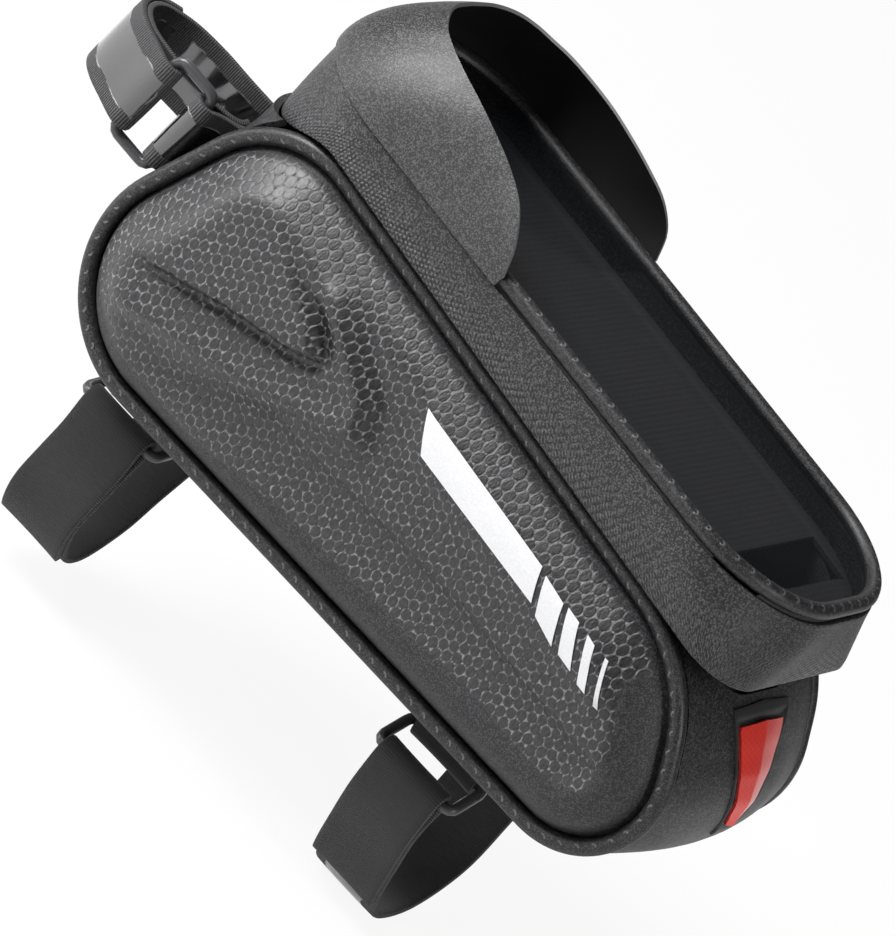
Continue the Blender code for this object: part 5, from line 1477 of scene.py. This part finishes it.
class DressSolids(bpy.types.Operator):
    """Closes the zip with its coil, and gives the zip, its sliders and the base board their finishes"""
    bl_idname = "phonebag.dress_solids"
    bl_label = "Zip and base board"

    def execute(self, context):
        tape = woven_tape()
        coil = bpy.data.curves.new("zip_coil", "CURVE")
        coil.dimensions = "3D"
        coil.bevel_depth = ZIP_COIL_RADIUS
        coil.bevel_resolution = 2
        coil.use_fill_caps = True
        line = zip_line()
        spline = coil.splines.new("POLY")
        spline.points.add(len(line) - 1)
        for point, (x, y) in zip(spline.points, line):
            point.co = (x, y, top_line(x) + ZIP_RISE, 1.0)
        cord = bpy.data.objects.new("zip_coil", coil)
        context.scene.collection.objects.link(cord)
        activate(cord)
        bpy.ops.object.convert(target="MESH")
        cord = context.object
        turn_outwards(cord)
        cord.data.materials.clear()
        cord.data.materials.append(None)
        finish_piece(cord, BAG, [], [tape])
        metal = metal_finish("painted_zinc_slider", "#2c2c2e", 0.35)
        board = plain_skin("extruded_base_board", "#2a2a2c", 0.6, 1.2, 0.2)
        for name, material in (("lower_zip_tape", tape), ("upper_zip_tape", tape),
                               ("front_zip_slider", metal), ("rear_zip_slider", metal),
                               ("base_board", board)):
            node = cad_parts[name]
            for slot in node.material_slots:
                slot.material = material
        return {"FINISHED"}


class BuildStage(bpy.types.Operator):
    """Lays the white floor and sets the studio lamps and the camera"""
    bl_idname = "phonebag.stage"
    bl_label = "Stage"

    def execute(self, context):
        looks = context.scene.phonebag_stage
        scene = context.scene
        floor_z = SOLID_BOX[0][2] - 0.6 * MM
        bpy.ops.object.select_all(action="DESELECT")
        bpy.ops.mesh.primitive_plane_add(size=14.0, location=(0.0, 0.0, floor_z))
        floor = bpy.context.object
        floor.name = "floor"
        bpy.ops.object.transform_apply(location=True, rotation=False, scale=False)
        floor.data.materials.append(studio_floor(looks))

        world = scene.world or bpy.data.worlds.new("studio")
        scene.world = world
        world.use_nodes = True
        tree = world.node_tree
        tree.nodes.clear()
        rays = add(tree, "LightPath")
        seen = add(tree, "Math", {0: rays.outputs["Is Camera Ray"], 1: rays.outputs["Is Transmission Ray"]},
                   operation="MAXIMUM").outputs[0]
        level = add(tree, "MapRange", {"Value": seen, "To Min": 0.09 * looks.lamp_level,
                                       "To Max": 1.0}).outputs[0]
        sky = add(tree, "Background", {"Color": (1.0, 1.0, 1.0, 1.0), "Strength": level})
        add(tree, "OutputWorld", {"Surface": sky.outputs[0]})

        middle = Vector((0.0, 0.0, 0.04))
        # Place, width, height and power of each soft lamp
        for name, place, width, height, power in (
                ("key_lamp", (-0.85, -0.55, 1.1), 0.7, 0.7, 32.0),
                ("strip_lamp", (-0.45, -1.35, 0.05), 0.07, 0.9, 3.0),
                ("front_lamp", (-1.3, -0.5, 0.25), 0.3, 0.7, 6.0),
                ("rear_lamp", (1.2, -0.35, 0.55), 0.2, 0.8, 5.5),
                ("far_lamp", (-0.9, 1.0, 1.1), 0.6, 0.4, 4.0)):
            light = bpy.data.lights.new(name, "AREA")
            light.shape = "RECTANGLE"
            light.size = width
            light.size_y = height
            light.energy = power * looks.lamp_level
            lamp = bpy.data.objects.new(name, light)
            scene.collection.objects.link(lamp)
            lamp.location = place
            lamp.rotation_euler = (middle - Vector(place)).to_track_quat("-Z", "Y").to_euler()

        lens = bpy.data.cameras.new("photo_camera")
        lens.lens = CAMERA_LENS_MM
        lens.sensor_width = 36.0
        lens.clip_start = 0.05
        lens.clip_end = 50.0
        camera = bpy.data.objects.new("photo_camera", lens)
        scene.collection.objects.link(camera)
        turn = Matrix((CAMERA_RIGHT, CAMERA_UP, CAMERA_BACK)).transposed().to_4x4()
        camera.matrix_world = Matrix.Translation(CAMERA_PLACE) @ turn
        scene.camera = camera
        scene.view_settings.view_transform = "Standard"
        return {"FINISHED"}


STEPS = (BuildSideShells, BuildSidePrints, BuildPipings, BuildGusset, BuildLidBand, BuildSunVisor,
         BuildWindow, BuildTubeStraps, BuildHeadStrap, BuildBadge, DressSolids, BuildStage)
SETTINGS = (("phonebag_shell", ShellLooks), ("phonebag_sewn", SewnLooks), ("phonebag_stage", StageLooks))


class PhoneBagPanel(bpy.types.Panel):
    """Lists the pieces of the phone bag"""
    bl_idname = "VIEW3D_PT_phonebag"
    bl_label = "Phone bag"
    bl_space_type = "VIEW_3D"
    bl_region_type = "UI"
    bl_category = "Phone bag"

    def draw(self, context):
        for name, group in SETTINGS:
            box = self.layout.box()
            for key in group.__annotations__:
                box.prop(getattr(context.scene, name), key)
        for step in STEPS:
            self.layout.operator(step.bl_idname)


def register():
    for _, group in SETTINGS:
        bpy.utils.register_class(group)
    for name, group in SETTINGS:
        setattr(bpy.types.Scene, name, bpy.props.PointerProperty(type=group))
    for step in STEPS:
        bpy.utils.register_class(step)
    bpy.utils.register_class(PhoneBagPanel)


def unregister():
    bpy.utils.unregister_class(PhoneBagPanel)
    for step in reversed(STEPS):
        bpy.utils.unregister_class(step)
    for name, group in SETTINGS:
        delattr(bpy.types.Scene, name)
        bpy.utils.unregister_class(group)


def main():
    register()
    bpy.ops.phonebag.side_shells()
    bpy.ops.phonebag.side_prints()
    bpy.ops.phonebag.pipings()
    bpy.ops.phonebag.gusset()
    bpy.ops.phonebag.lid_band()
    bpy.ops.phonebag.sun_visor()
    bpy.ops.phonebag.window()
    bpy.ops.phonebag.tube_straps()
    bpy.ops.phonebag.head_strap()
    bpy.ops.phonebag.badge()
    bpy.ops.phonebag.dress_solids()
    bpy.ops.phonebag.stage()


if __name__ == "__main__":
    main()
